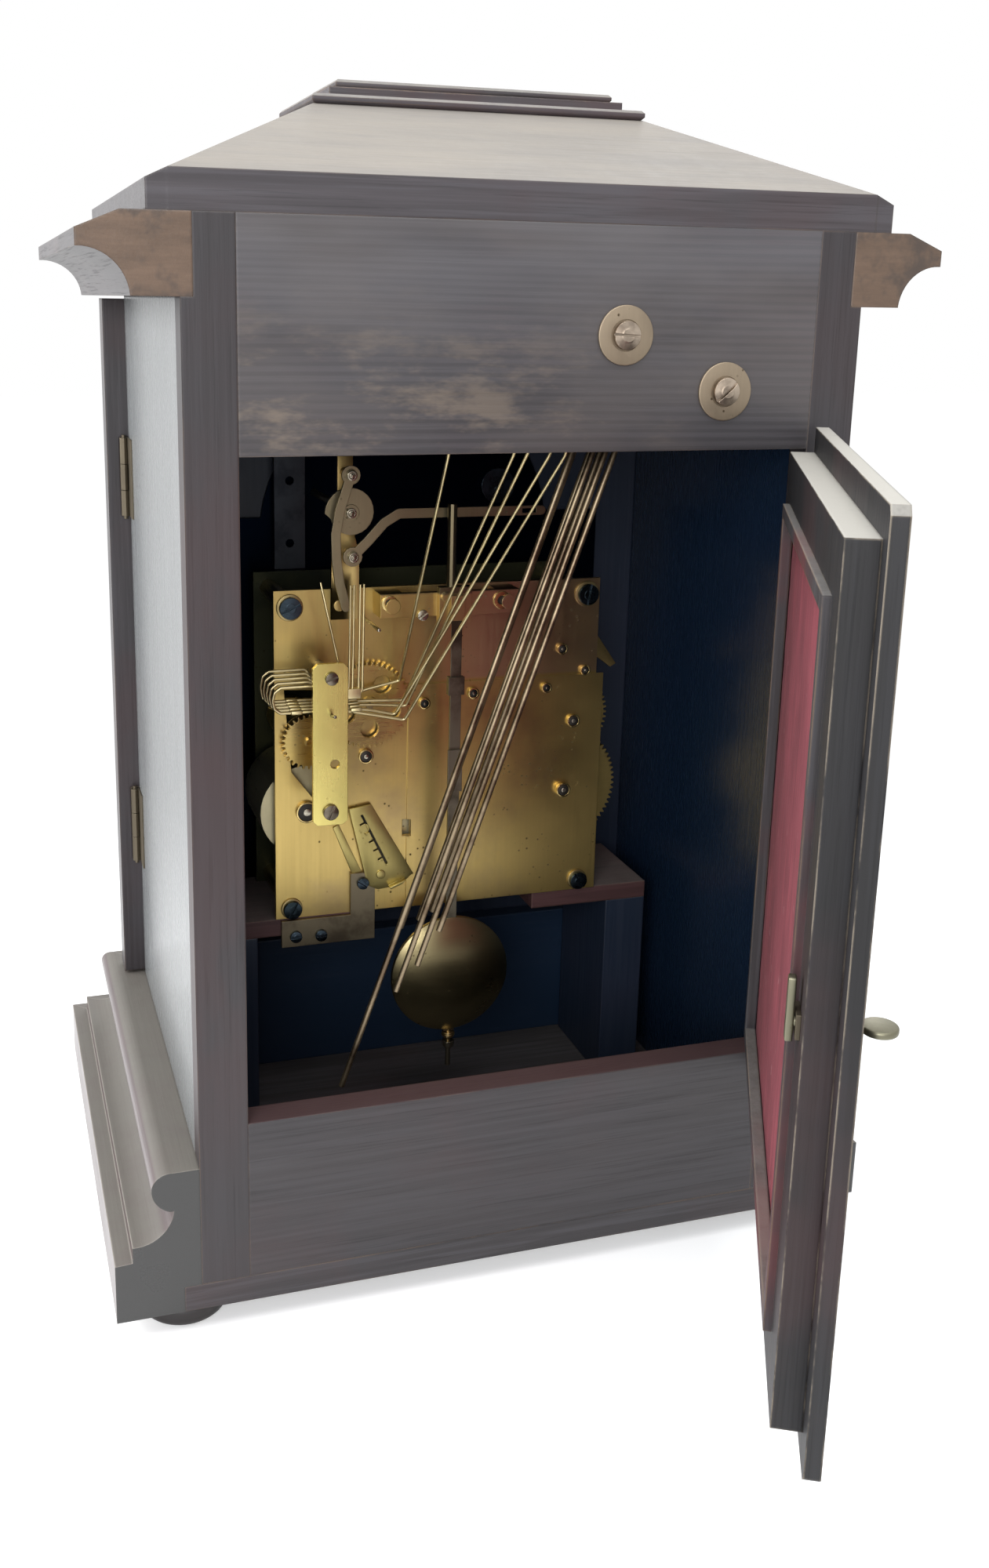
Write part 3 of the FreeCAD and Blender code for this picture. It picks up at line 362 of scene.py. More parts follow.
class Finish(Nodes):
    """A procedural material."""

    def __init__(self, name, metallic=0, specular=0.5):
        self.material = bpy.data.materials.new(name)
        super().__init__(self.material)
        self.shader = self.node("BsdfPrincipled", {"Metallic": metallic,
                                                   "Specular IOR Level": specular})
        self.node("OutputMaterial", {"Surface": self.shader.outputs[0]})
        self.place = self.node("TexCoord").outputs["Object"]
        self.x, self.y, self.z = self.split(self.place)

    def split(self, vector):
        parts = self.node("SeparateXYZ", {0: vector}).outputs
        return [Value(self, part) for part in parts]

    def placed(self, stretch, where=None):
        return self.node("Mapping", {"Vector": where or self.place, "Scale": stretch}).outputs[0]

    def noise(self, scale, detail=3, rough=0.55, bend=0, stretch=None, where=None):
        where = where or (self.placed(stretch) if stretch else self.place)
        return self.value("TexNoise", {"Vector": where, "Scale": scale, "Detail": detail,
                                       "Roughness": rough, "Distortion": bend})

    def blend(self, share, first, second):
        return self.node("Mix", {0: share, 6: first, 7: second}, data_type="RGBA").outputs[2]

    def ramp(self, value, stops):
        return self.node("ValToRGB", {0: value}, stops).outputs[0]

    def normal(self):
        return self.node("NewGeometry").outputs["Normal"]

    def facing(self, axis):
        """How much the surface faces along +X, +Y or +Z."""
        return self.value("SeparateXYZ", {0: self.normal()}, axis)

    def arris(self, radius, low=0.02, high=0.25):
        """1 along edges, where a rounded normal leaves the flat one, and that normal."""
        soft = self.node("Bevel", {"Radius": radius}, samples=6).outputs[0]
        dot = self.value("VectorMath", {0: soft, 1: self.normal()}, "Value",
                         operation="DOT_PRODUCT")
        return (1 - dot).above((low + high) / 2, (high - low) / 2), soft

    def set(self, name, value):
        self.plug(self.shader.inputs[name], value)

    def coat(self, share, colour):
        """Lays a colour over the tint so far."""
        self.tint = self.blend(share, self.tint, colour)

    def surface(self, rough):
        self.set("Base Color", self.tint)
        self.set("Roughness", rough)

    def relief(self, height, depth, strength, normal=None):
        inputs = {"Height": height, "Distance": depth, "Strength": strength}
        if normal:
            inputs["Normal"] = normal
        self.set("Normal", self.node("Bump", inputs).outputs[0])


def shade(colour, factor):
    return tuple(min(1, c * factor) for c in colour)


def drawn(axis, along, across):
    """A stretch that draws a pattern out along one axis."""
    return tuple(along if letter == axis else across for letter in "XYZ")


def old_wood(name, axis, depth=1, base=None, glaze=None, worn=None, red=(0.062, 0.022, 0.022),
             redness=0.22, dust=0.25, rings=0.35, sheen=0.5, edge=0.6, figured=0.6, inside=None,
             touch=None):
    """Dark stained and waxed wood with its grain along one axis.

    Without colours of its own it takes the case's, made darker or paler by depth. Inside says
    where the wood inside the case is darkened to blue black as painted shade, and touch adds what
    is particular to one board.
    """
    wood = bpy.context.scene.clock_wood
    base = base or shade(wood.stain, depth)
    glaze = glaze or shade(wood.glaze, depth)
    grey_dust, painted_shade_blue_black = (0.36, 0.345, 0.31), (0.0058, 0.0165, 0.038)
    f = Finish(name, specular=0.45)
    pores = f.noise(16, 4, 0.65, stretch=drawn(axis, 1, 52))
    figure = f.noise(2.6, 3, 0.5, 0.8, stretch=drawn(axis, 1, 26))
    lines = f.noise(12, 2, 0.5, 0.25, stretch=drawn(axis, 0.7, 26))
    patches = f.noise(9, 4, 0.6)
    f.tint = f.ramp(figure, ((0.25, shade(base, 1 - 0.4 * figured)), (0.55, base),
                             (0.85, shade(base, 1 + figured))))
    f.coat(lines.above(0.54, 0.05) * rings, glaze)
    f.coat(lines.below(0.45, 0.04) * rings, shade(base, 0.45))
    f.coat(pores.below(0.4, 0.06) * 0.45, shade(base, 0.35))
    f.coat(patches.above(0.57, 0.12) * redness, red)
    rubbed = f.noise(21, 5, 0.7)
    arris, soft = f.arris(0.0014)
    wear = arris * rubbed.above(0.5, 0.14) * edge
    f.coat(wear, worn or tuple(wood.worn))
    clotted = f.noise(70, 4, 0.75).above(0.35, 0.3)
    up = f.facing("Z").above(0.7, 0.15) * (0.45 + 0.55 * clotted)
    f.coat(up * dust, grey_dust)
    if touch:
        touch(f)
    if inside:
        # Painted shade: the wood inside the case is coated blue black where it lies in shade.
        f.coat(inside(f), painted_shade_blue_black)
    f.surface((0.64 - 0.3 * sheen) - 0.14 * patches + up * 0.25 + pores.below(0.4, 0.1) * 0.1)
    f.relief(pores * 0.5 + lines * 0.6, 0.00022, 0.6, soft)
    return f.material


def aged_brass(name, base, tarnish, blush=None, brushed="Z", rough=0.32, specks=0.5, tone=None,
               back=None):
    """Lacquered brass that has gone brown in patches.

    Blush, tone and back say where it is coppery, where it is in shade and where painted shade
    darkens it to blue black.
    """
    copper, umber, black = (0.56, 0.375, 0.25), (0.09, 0.085, 0.065), (0.0015, 0.0035, 0.0085)
    f = Finish(name, metallic=1)
    brush = f.noise(2, 3, 0.7, stretch=drawn(brushed, 6, 300))
    cloud = f.noise(14, 5, 0.6)
    f.tint = f.ramp(cloud, ((0.28, tarnish), (0.48, base), (0.75, shade(base, 1.15))))
    f.coat((brush - 0.5) * 0.5 + 0.25, shade(base, 0.75))
    if blush:
        f.coat(blush(f), copper)
    spots = f.value("TexVoronoi", {"Vector": f.place, "Scale": 260.0}).below(0.16, 0.064)
    spots = spots * f.noise(60, 2).above(0.58, 0.05)
    f.coat(spots * specks, (0.05, 0.032, 0.014))
    if tone:
        f.coat(tone(f), umber)
    arris, soft = f.arris(0.0004, 0.01, 0.3)
    f.coat(arris * 0.35, shade(base, 1.35))
    if back:
        # Painted shade: the faces picked by back are darkened to blue black.
        f.coat(back(f), black)
    f.surface(rough + (brush - 0.5) * 0.12 + (cloud - 0.5) * 0.25 + spots * 0.3)
    f.relief(brush, 0.00003, 0.35, soft)
    return f.material


def plain_metal(name, base, dull, rough=0.35, brushed="Z"):
    """Steel or bronze, with a faint grain and dull spots."""
    f = Finish(name, metallic=1)
    brush = f.noise(2, 2, 0.6, stretch=drawn(brushed, 8, 260))
    cloud = f.noise(34, 5, 0.65)
    f.tint = f.blend(cloud.below(0.47, 0.1), base, dull)
    arris, soft = f.arris(0.00035, 0.01, 0.3)
    f.coat(arris * 0.4, shade(base, 1.5))
    f.surface(rough + (cloud - 0.5) * 0.3 + (brush - 0.5) * 0.1)
    f.relief(brush * 0.5 + cloud, 0.00004, 0.3, soft)
    return f.material


# --- what is particular to one board; places are in metres
# Masks for the painted shade inside the case.
def inner_side(f):
    return abs(f.x).below(0.1484, 0.0006) * f.y.below(REAR - 0.0152, 0.0004)


def behind_front(f):
    return f.y.above(REAR - 0.2208, 0.0006)


def everywhere(f):
    return 0.86 - 0.2 * f.noise(12)


def rear_rail(f):
    """Growth rings, a warm cast, a red ledge, wax haze, scuffs and a chip at the foot."""
    upper = f.z.above(0.2, 0.01) * 0.65 + 0.12
    rings = f.value("TexWave", {"Vector": f.placed((0.1, 1, 1)), "Scale": 82,
                                "Distortion": 12, "Detail": 2, "Detail Scale": 0.2},
                    1, bands_direction="Z")
    dark = shade(bpy.context.scene.clock_wood.stain, 0.48)
    f.coat(rings.below(0.4, 0.3) * upper, dark)
    warm = f.noise(8, 4, 0.6, stretch=(1, 1, 2)).above(0.5, 0.12)
    f.coat(warm * upper * 0.45, (0.085, 0.068, 0.058))
    ledge = f.facing("Z").above(0.7, 0.1) * f.z.below(0.12, 0.002)
    f.coat(ledge * 0.85, (0.052, 0.02, 0.023))
    haze = f.noise(5, 3, 0.6, stretch=(1, 1, 5)).above(0.35, 0.3)
    f.coat(haze * f.z.above(0.45, 0.08) * 0.5, (0.13, 0.125, 0.135))
    scuff = (f.noise(15, 5, 0.7, stretch=(1, 1, 3)).above(0.56, 0.09)
             * f.z.above(0.424, 0.006) * f.z.below(0.47, 0.035) * f.x.above(-0.02, 0.1))
    f.coat(scuff * 0.55, (0.20, 0.155, 0.115))
    chip = (f.x * 0.7) * (f.x * 0.7) + (f.z - 0.0145) * (f.z - 0.0145)
    f.coat(chip.below(0.00003, 0.000012), (0.34, 0.13, 0.06))


def red_stile(f):
    low = f.noise(7, 4, 0.6, stretch=(3, 1, 1)).above(0.47, 0.1)
    side = f.x.above(0.128, 0.012) * f.z.above(0.1, 0.05) * f.z.below(0.42, 0.05)
    f.coat(low * side * 0.3, (0.06, 0.026, 0.026))


def sawn_ends(f):
    """Paler end grain where the mouldings were sawn off, with dark stains."""
    end = bpy.context.scene.clock_wood.end_grain
    back = f.facing("Y").above(0.8, 0.1)
    streak = f.noise(26, 4, 0.7, stretch=(1, 1, 6))
    brown = f.blend(streak, shade(end, 0.5), shade(end, 1.5))
    stain = f.noise(34, 4, 0.7).below(0.46, 0.08)
    brown = f.blend(stain * 0.7, brown, (0.045, 0.035, 0.03))
    f.coat(back * 0.95, brown)


def bloom(f):
    """The pale bloom of old wax on the outside, with painted glare laid over it in vertical
    streaks.
    """
    # Painted glare: the outer faces of both side boards are laid pale, streaked up and down.
    streak = f.noise(3.5, 4, 0.6, stretch=(70, 70, 2.5))
    outer = abs(f.x).above(0.157, 0.001)
    f.coat(outer * (0.6 + 0.35 * streak.above(0.3, 0.5)), (0.17, 0.178, 0.18))


def plinth_tones(f):
    """Dust on the plinth's flats, a brown cast, rubbed lines and dark sawn ends."""
    back = f.facing("Y").above(0.8, 0.1)
    cove = f.noise(12, 3, 0.6).above(0.3, 0.3) * 0.7
    f.coat(cove, (0.10, 0.072, 0.07))
    level = f.facing("Z").above(0.7, 0.1)
    dusty = f.noise(30, 4, 0.7).above(0.35, 0.3)
    f.coat(level * (0.3 + 0.4 * dusty), (0.12, 0.117, 0.098))
    f.coat(level * f.z.above(0.098, 0.002) * 0.7, (0.13, 0.075, 0.06))
    line = f.arris(0.0012)[0]
    f.coat(line * 0.75, (0.34, 0.31, 0.27))
    f.coat(back * 0.9, (0.036, 0.038, 0.037))


def roof_glare_and_scuffs(f):
    # Painted glare: the upward slope is laid pale almost all over, with paler scuffs where it is
    # rubbed.
    slope = f.facing("Z").above(0.4, 0.1)
    rub = f.noise(5, 6, 0.7, stretch=(1.5, 9, 9))
    f.coat(slope * (0.72 + rub.above(0.35, 0.3) * 0.28), (0.21, 0.195, 0.178))
    f.coat(slope * rub.above(0.5, 0.25) * 0.5, (0.29, 0.255, 0.21))


def coppery(f):
    soft = f.noise(11, 3, 0.6).above(0.4, 0.15)
    return f.z.above(0.2835, 0.001) * f.x.below(0, 0.03) * (0.45 + 0.3 * soft)


def plate_shade(f):
    return f.z.above(0.30, 0.1) * 0.22 + f.x.below(-0.04, 0.07) * f.z.above(0.2, 0.06) * 0.2


def cock_shade(f):
    return plate_shade(f).larger(f.z.above(0.336, 0.001) * 0.85)


# --- settings
def colour(name, text, default):
    return FloatVectorProperty(name=name, description=text, subtype="COLOR", size=3, min=0, max=1,
                               default=default)


def length(name, text, default):
    return FloatProperty(name=name, description=text, default=default, unit="LENGTH")


class ClockWood(bpy.types.PropertyGroup):
    """Colours of the case."""

    stain: colour("Stain", "Dark stain over the whole case", (0.034, 0.030, 0.033))
    glaze: colour("Glaze", "Bluish bloom of the old wax on the raised grain",
                  (0.060, 0.058, 0.066))
    worn: colour("Worn edge", "Wood that shows where the edges have rubbed through",
                 (0.17, 0.11, 0.07))
    end_grain: colour("End grain", "Paler brown of the sawn moulding ends", (0.115, 0.073, 0.048))


class ClockMetal(bpy.types.PropertyGroup):
    """Colours and sizes of the metalwork."""

    brass: colour("Brass", "Plates, wheels and brackets", (0.65, 0.48, 0.17))
    tarnish: colour("Tarnish", "Brown patches on the brass", (0.40, 0.285, 0.15))
    gong: colour("Gong rods", "Bronzed steel of the gong rods", (0.31, 0.245, 0.16))
    blued: colour("Blued steel", "Screws and dial hands", (0.05, 0.07, 0.09))
    rod_radius: length("Gong rod radius", "Radius of each gong rod", 0.0015)
    wire_radius: length("Hammer wire radius", "Radius of the hammer wires", 0.00085)
    bob_radius: length("Bob radius", "Radius of the pendulum bob", 0.0345)


class ClockCloth(bpy.types.PropertyGroup):
    """The lining of the rear door."""

    silk: colour("Silk", "Crimson cloth behind the door frame", (0.17, 0.036, 0.048))
    threads: IntProperty(name="Threads", description="Threads per centimetre of the weave",
                         default=14)


# --- pieces
class CLOCK_OT_case_wood(bpy.types.Operator):
    """Stains and waxes the case, the roof and both doors"""

    bl_idname = "clock.case_wood"
    bl_label = "Case wood"

    def execute(self, context):
        dress(old_wood("rear_board_wood", "X", touch=rear_rail, rings=0.14, figured=0.3),
              "rear_rails")
        dress(old_wood("stile_wood", "Z", 0.85, touch=red_stile, rings=0.1, figured=0.25,
                       redness=0.12), "rear_stiles")
        dress(old_wood("side_wood", "Z", inside=inner_side, touch=bloom, rings=0.12, figured=0.3,
                       sheen=1.05), "side_boards")
        dress(old_wood("cornice_wood", "Y", 1.4, touch=sawn_ends, sheen=0.8, rings=0.15),
              "cornice_mouldings")
        dress(old_wood("plinth_wood", "Y", touch=plinth_tones, rings=0.15, sheen=0.9, dust=0.12,
                       edge=1.6), "plinth_mouldings")
        dress(old_wood("base_wood", "X", dust=0.06), "bottom_board")
        dress(old_wood("roof_wood", "X", 1.5, touch=roof_glare_and_scuffs, rings=0.2, dust=0.2, sheen=0.9),
              "roof_boards")
        dress(old_wood("cap_wood", "X", 1.5, edge=1.5, rings=0.2, redness=0.4, dust=0.9),
              "roof_cap")
        dress(old_wood("front_wood", "X", inside=behind_front), "front_rails")
        dress(old_wood("mask_wood", "Z", inside=everywhere), "dial_mask")
        dress(old_wood("support_wood", "Z", inside=everywhere), "seat_supports")
        dress(old_wood("seat_wood", "X", base=(0.06, 0.026, 0.026), glaze=(0.075, 0.035, 0.035),
                       redness=0.8, red=(0.08, 0.024, 0.024), sheen=0.1), "seat_board")
        dress(old_wood("door_upright_wood", "Z", base=(0.007, 0.0065, 0.008),
                       glaze=(0.015, 0.015, 0.019), worn=(0.30, 0.25, 0.19), redness=0.3,
                       edge=2, dust=1.3, rings=0.25, sheen=0.1),
              "rear_door_frame", "rear_door_board")
        dress(old_wood("bead_wood", "Z", red=(0.09, 0.022, 0.025), redness=0.9, edge=1.2,
                       sheen=0.1), "rear_door_beading")
        dress(old_wood("front_door_wood", "Z", sheen=0.8, rings=0.15, figured=0.4),
              "front_door_frame")
        return {"FINISHED"}


class CLOCK_OT_feet(bpy.types.Operator):
    """Turns the four bun feet"""

    bl_idname = "clock.feet"
    bl_label = "Bun feet"

    def execute(self, context):
        low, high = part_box("bun_feet")
        feet = [upright(x, y, low.z * 1000, high.z * 1000, 21.7, 56, 3.6, 5)
                for x in (-166, 166) for y in (-24, -255)]
        black = old_wood("blackened_foot", "X", base=(0.012, 0.011, 0.011),
                         glaze=(0.03, 0.03, 0.034), worn=(0.1, 0.07, 0.05), redness=0.1, dust=0.2)
        finished(feet, "turned_feet", "case", "foot_wood", black, "bun_feet")
        return {"FINISHED"}


def crimson_silk():
    """A plain weave with slubs, fading and lint."""
    cloth = bpy.context.scene.clock_cloth
    silk = tuple(cloth.silk)
    count = cloth.threads * 22.6    # the cloth's width in centimetres
    f = Finish("crimson_silk", specular=0.12)
    uv = f.node("TexCoord").outputs["UV"]
    across, along, _ = f.split(uv)
    warp = (across * (count * 6.2832)).sine() * 0.5 + 0.5
    weft = (along * (count * 7.5)).sine() * 0.5 + 0.5
    slubs = f.noise(1, 4, 0.6, where=f.placed((90, 5, 1), uv))
    faded = f.noise(5, 4, 0.6, where=uv)
    f.tint = f.ramp(faded, ((0.3, shade(silk, 0.72)), (0.55, silk), (0.8, shade(silk, 1.25))))
    f.coat(slubs.above(0.55, 0.08) * 0.4, (0.34, 0.07, 0.09))
    f.coat(warp * weft * 0.35, shade(silk, 0.45))
    lint = f.noise(260, 2, stretch=(1, 1, 0.4)).above(0.735, 0.02)
    f.coat(lint * 0.5, (0.42, 0.26, 0.26))
    f.surface(0.78 + 0.1 * slubs)
    f.relief(warp * 0.5 + weft * 0.5 + slubs * 0.6, 0.00025, 0.6)
    f.set("Sheen Weight", 0.04)
    return f.material


class CLOCK_OT_door_cloth(bpy.types.Operator):
    """Stretches the crimson cloth behind the rear door's beading"""

    bl_idname = "clock.door_cloth"
    bl_label = "Door cloth"

    def execute(self, context):
        wide, low, high = 113.2, 130.5, 399.6
        clear_selection()
        centre = at(0, -8.4, (low + high) / 2)
        bpy.ops.mesh.primitive_grid_add(x_subdivisions=44, y_subdivisions=52, size=1,
                                        location=centre, rotation=(math.radians(90), 0, 0))
        obj = bpy.context.object
        obj.scale = (2 * wide / 1000, (high - low) / 1000, 1)
        settle(obj)
        for vertex in obj.data.vertices:
            u = vertex.co.x / (wide / 1000)
            v = (vertex.co.z - centre.z) / ((high - low) / 2000)
            inside = (1 - u ** 8) * (1 - v ** 8)
            slack = 0.34 * math.sin(7 * u + 2.2 * v) + 0.22 * math.sin(17 * u - 1.4 * v)
            pulls = 0.25 * math.sin(46 * v) * abs(u) ** 5 + 0.2 * math.sin(40 * u) * abs(v) ** 5
            vertex.co.y += (slack * 0.6 + pulls) * inside / 1000
        apply_modifier(obj, "SOLIDIFY", thickness=0.0004, offset=0)
        opened(obj)
        finished([obj], "stretched_silk", "rear_door", "cloth", crimson_silk(), "rear_door_cloth")
        return {"FINISHED"}


class CLOCK_OT_gong(bpy.types.Operator):
    """Draws the seven rods of the gong and blackens their block"""

    bl_idname = "clock.gong"
    bl_label = "Gong rods"

    def execute(self, context):
        metal = context.scene.clock_metal
        radius = metal.rod_radius * 1000
        block_x, block_z, tilt = -65.2, 462.5, math.radians(26)
        underside = block_z - 13.2 / math.cos(tilt) + 0.6
        rods = []
        for x, low, y in GONG_RODS:
            top = 490
            for _ in range(6):    # closes in on where the rod meets the tilted block
                top_x = x - GONG_LEAN * (top - GONG_HEIGHT)
                top = underside + (top_x - block_x) * math.tan(tilt)
            rods.append(turned_bar(at(x - GONG_LEAN * (low - GONG_HEIGHT), y, low),
                                   at(x - GONG_LEAN * (top - GONG_HEIGHT), y, top), radius, 24,
                                   0.5))
        bronzed = plain_metal("bronzed_rod", tuple(metal.gong), (0.14, 0.1, 0.065), 0.42)
        finished(rods, "gong_set", "case", "steel", bronzed, "gong_rods")
        dress(plain_metal("cast_iron", (0.05, 0.05, 0.055), (0.02, 0.02, 0.02), 0.6), "gong_block")
        return {"FINISHED"}


class CLOCK_OT_gong_screws(bpy.types.Operator):
    """Makes the two washers and screws that hold the gong through the top rail"""

    bl_idname = "clock.gong_screws"
    bl_label = "Gong screws"

    def execute(self, context):
        washers, screws = [], []
        for x, z, turn in ((-39.5, 475, -4), (-90.8, 450, 42)):
            washer = along_y(x, 0, 1.4, z, 13.4, 72, 0.45, 3)
            washers.append(cut_away(washer, along_y(x, 1, 3, z, 7, 56)))
            screws.append(slotted_screw(x, 1, 3.6, z, 6.4, turn, 1))
        brass = aged_brass("dull_washer", (0.34, 0.275, 0.2), (0.2, 0.16, 0.12), rough=0.52,
                           specks=0.8)
        steel = plain_metal("worn_screw", (0.47, 0.39, 0.31), (0.2, 0.16, 0.125), 0.42, "X")
        finished(washers, "gong_washers", "case", "brass_old", brass, "gong_fixings")
        finished(screws, "gong_screws", "case", "steel", steel)
        return {"FINISHED"}


class CLOCK_OT_plate_screws(bpy.types.Operator):
    """Makes the blued screws on the back plate"""

    bl_idname = "clock.plate_screws"
    bl_label = "Plate screws"

    def execute(self, context):
        metal = context.scene.clock_metal
        heads, collars = [], []
        for x, z, y, r, rim, turn in (
                (86.7, 328.4, PLATE, 6, 1.3, 25), (-84.9, 328.8, PLATE, 6, 1.3, 80),
                (86.4, 155.9, PLATE, 5.2, 0.9, 60), (-85.7, 156.4, LOWER_PLATE, 5.2, 0.9, 118)):
            collars.append(along_y(x, y, y + 1.2, z, r + rim, 44, 0.3))
            heads.append(slotted_screw(x, y + 1.2, y + 4, z, r, turn, 0.2))
        for x, z in ((84.7, 139.8), (70.2, 139.1), (46, 168)):
            heads.append(slotted_screw(x, PLATE + 2.5, PLATE + 4.5, z, 3.4, 100 + x, 0.2))
        blued = plain_metal("blued_screw", tuple(metal.blued), (0.02, 0.03, 0.035), 0.28, "X")
        finished(heads, "blued_screws", "case", "blued_steel", blued, "plate_screws")
        brass = aged_brass("screw_collar", (0.36, 0.28, 0.13), tuple(metal.tarnish), rough=0.35)
        finished(collars, "screw_collars", "case", "brass_part", brass)
        return {"FINISHED"}


class CLOCK_OT_pendulum(bpy.types.Operator):
    """Makes the pendulum's bob and nut and dresses its rod"""

    bl_idname = "clock.pendulum"
    bl_label = "Pendulum"

    def execute(self, context):
        y, z = -112, 116.5
        radius = context.scene.clock_metal.bob_radius * 1000
        bob = along_y(0, y - 1.3, y + 1.3, z, radius, 72)
        swell = ((2.6, 0.82), (1.75, 0.80), (1.15, 0.76), (0.7, 0.7), (0.35, 0.6), (0.1, 0.4))
        for side in (1, -1):
            domed(bob, 0, y, z, side, swell)
        rounded(bob, 0.4, 2, 30)
        brass = aged_brass("bob_brass", (0.27, 0.225, 0.12), (0.15, 0.125, 0.075), rough=0.3,
                           specks=0.9, brushed="X")
        finished([bob], "pendulum_lens", "pendulum", "brass_part", brass, "pendulum_bob", angle=25)
        dress(plain_metal("pendulum_steel", (0.17, 0.15, 0.11), (0.08, 0.07, 0.05), 0.4),
              "pendulum_rod")
        nut = joined([upright(0, y, 77.4, 80.2, 3.6, 36, 0.3),
                      upright(0, y, 78.3, 79.3, 3.9, 36, 0.3)])
        nut = cut_away(nut, upright(0, y, 74, 84, 1.56, 24))
        finished([nut], "rating_ring", "rating_nut", "brass_part",
                 aged_brass("nut_brass", (0.42, 0.31, 0.15), (0.2, 0.14, 0.07)), "rating_nut")
        return {"FINISHED"}


class CLOCK_OT_hammers(bpy.types.Operator):
    """Bends the five hammer wires and the upright spring wires"""

    bl_idname = "clock.hammers"
    bl_label = "Hammers"

    def execute(self, context):
        radius = context.scene.clock_metal.wire_radius * 1000
        steel = plain_metal("hammer_wire", (0.80, 0.68, 0.38), (0.55, 0.45, 0.25), 0.38)
        for n, (bend, top, head) in enumerate(HAMMERS):
            y = bend[1]
            collar = along_y(STUD[0], y - 1.4, y + 1.4, STUD[1], 4, 32, 0.3)
            collar = cut_away(collar, along_y(STUD[0], y - 5, y + 5, STUD[1], 1.6, 24))
            upper, lower, out = 296 - 1.4 * n, 279.2 - 0.7 * n, 100 - 0.9 * n
            loop = [(x, y, z) for x, z in (
                (73, 287.2), (80, upper), (out, upper), (out + 3.4, upper - 2.6),
                (out + 4.4, (upper + lower) / 2), (out + 3.4, lower + 2.6), (out, lower),
                (80, lower), (62, lower - 0.6), (46, (lower + bend[2]) / 2))]
            stem = wire(loop + [bend, top, head], radius)
            ferrule = turned_bar(at(85, y, lower), at(91, y, lower), 1.5, 20, 0.4)
            sleeve = turned_bar(at(52.5, y, lower - 0.4), at(58.5, y, lower - 0.55), 1.4, 20, 0.4)
            x, y, z = head
            tip = turned_bar(at(x - 3, y, z - 2), at(x + 3.6, y, z + 2.4), 2.8, 28, 0.6)
            finished([collar, stem, ferrule, sleeve, tip], f"chime_hammer_{n + 1}",
                     f"hammer_{n + 1}", "dark_steel", steel, f"hammer_{n + 1}")
        springs = [block(54.2, 66, -111.1, -106.5, 283.5, 289, 0.4)]
        for n, x in enumerate((60.4, 58.3, 54.8, 52.6)):
            y, foot = -107.4 - 0.7 * n, 287.4 - 0.9 * n
            springs.append(wire([(64, y, foot), (x + 2.4, y, foot), (x + 0.4, y, foot + 2.6),
                                 (x, y, 312), (x - 0.3, y, 344.5)], 0.62))
        springs.append(turned_bar(at(62.6, -108.6, 287), at(75.2, -111.6, 346), 0.6, 16, 0.2))
        finished(springs, "upright_springs", "case", "steel", steel, "spring_wires")
        return {"FINISHED"}


class CLOCK_OT_latches(bpy.types.Operator):
    """Turns the rear door's latch and the front door's knob"""

    bl_idname = "clock.latches"
    bl_label = "Latch and knob"

    def execute(self, context):
        x, z, outside, inside = 122, 257, 6.2, -11
        latch = [along_y(x, inside - 4.7, outside + 3.4, z, 1.98, 32, 0.2),
                 along_y(x, outside + 1, outside + 3.4, z, 3, 32, 0.5),
                 upright(x, outside + 8.6, z - 1.25, z + 1.25, 6.3, 56, 0.7, 3),
                 block(x - 2.2, x + 2.2, inside - 4.7, inside - 2, z - 7, z + 16, 0.6, 3)]
        grey = aged_brass("grey_brass", (0.22, 0.21, 0.15), (0.12, 0.12, 0.09), rough=0.42)
        finished([opened(joined(latch))], "turn_latch", "rear_latch", "brass_old", grey,
                 "rear_latch")
        x, z, face = -150, 262, -238
        knob = [along_y(x, face - 7, face + 16, z, 1.98, 32, 0.2),
                along_y(x, face - 7.2, face - 1.2, z, 3, 32, 0.6),
                along_y(x, face - 13.8, face - 7, z, 6, 48, 1.6, 4)]
        finished(knob, "turned_knob", "front_knob", "brass_part",
                 aged_brass("knob_brass", (0.45, 0.33, 0.13), (0.2, 0.14, 0.07)),
                 "front_door_knob")
        return {"FINISHED"}


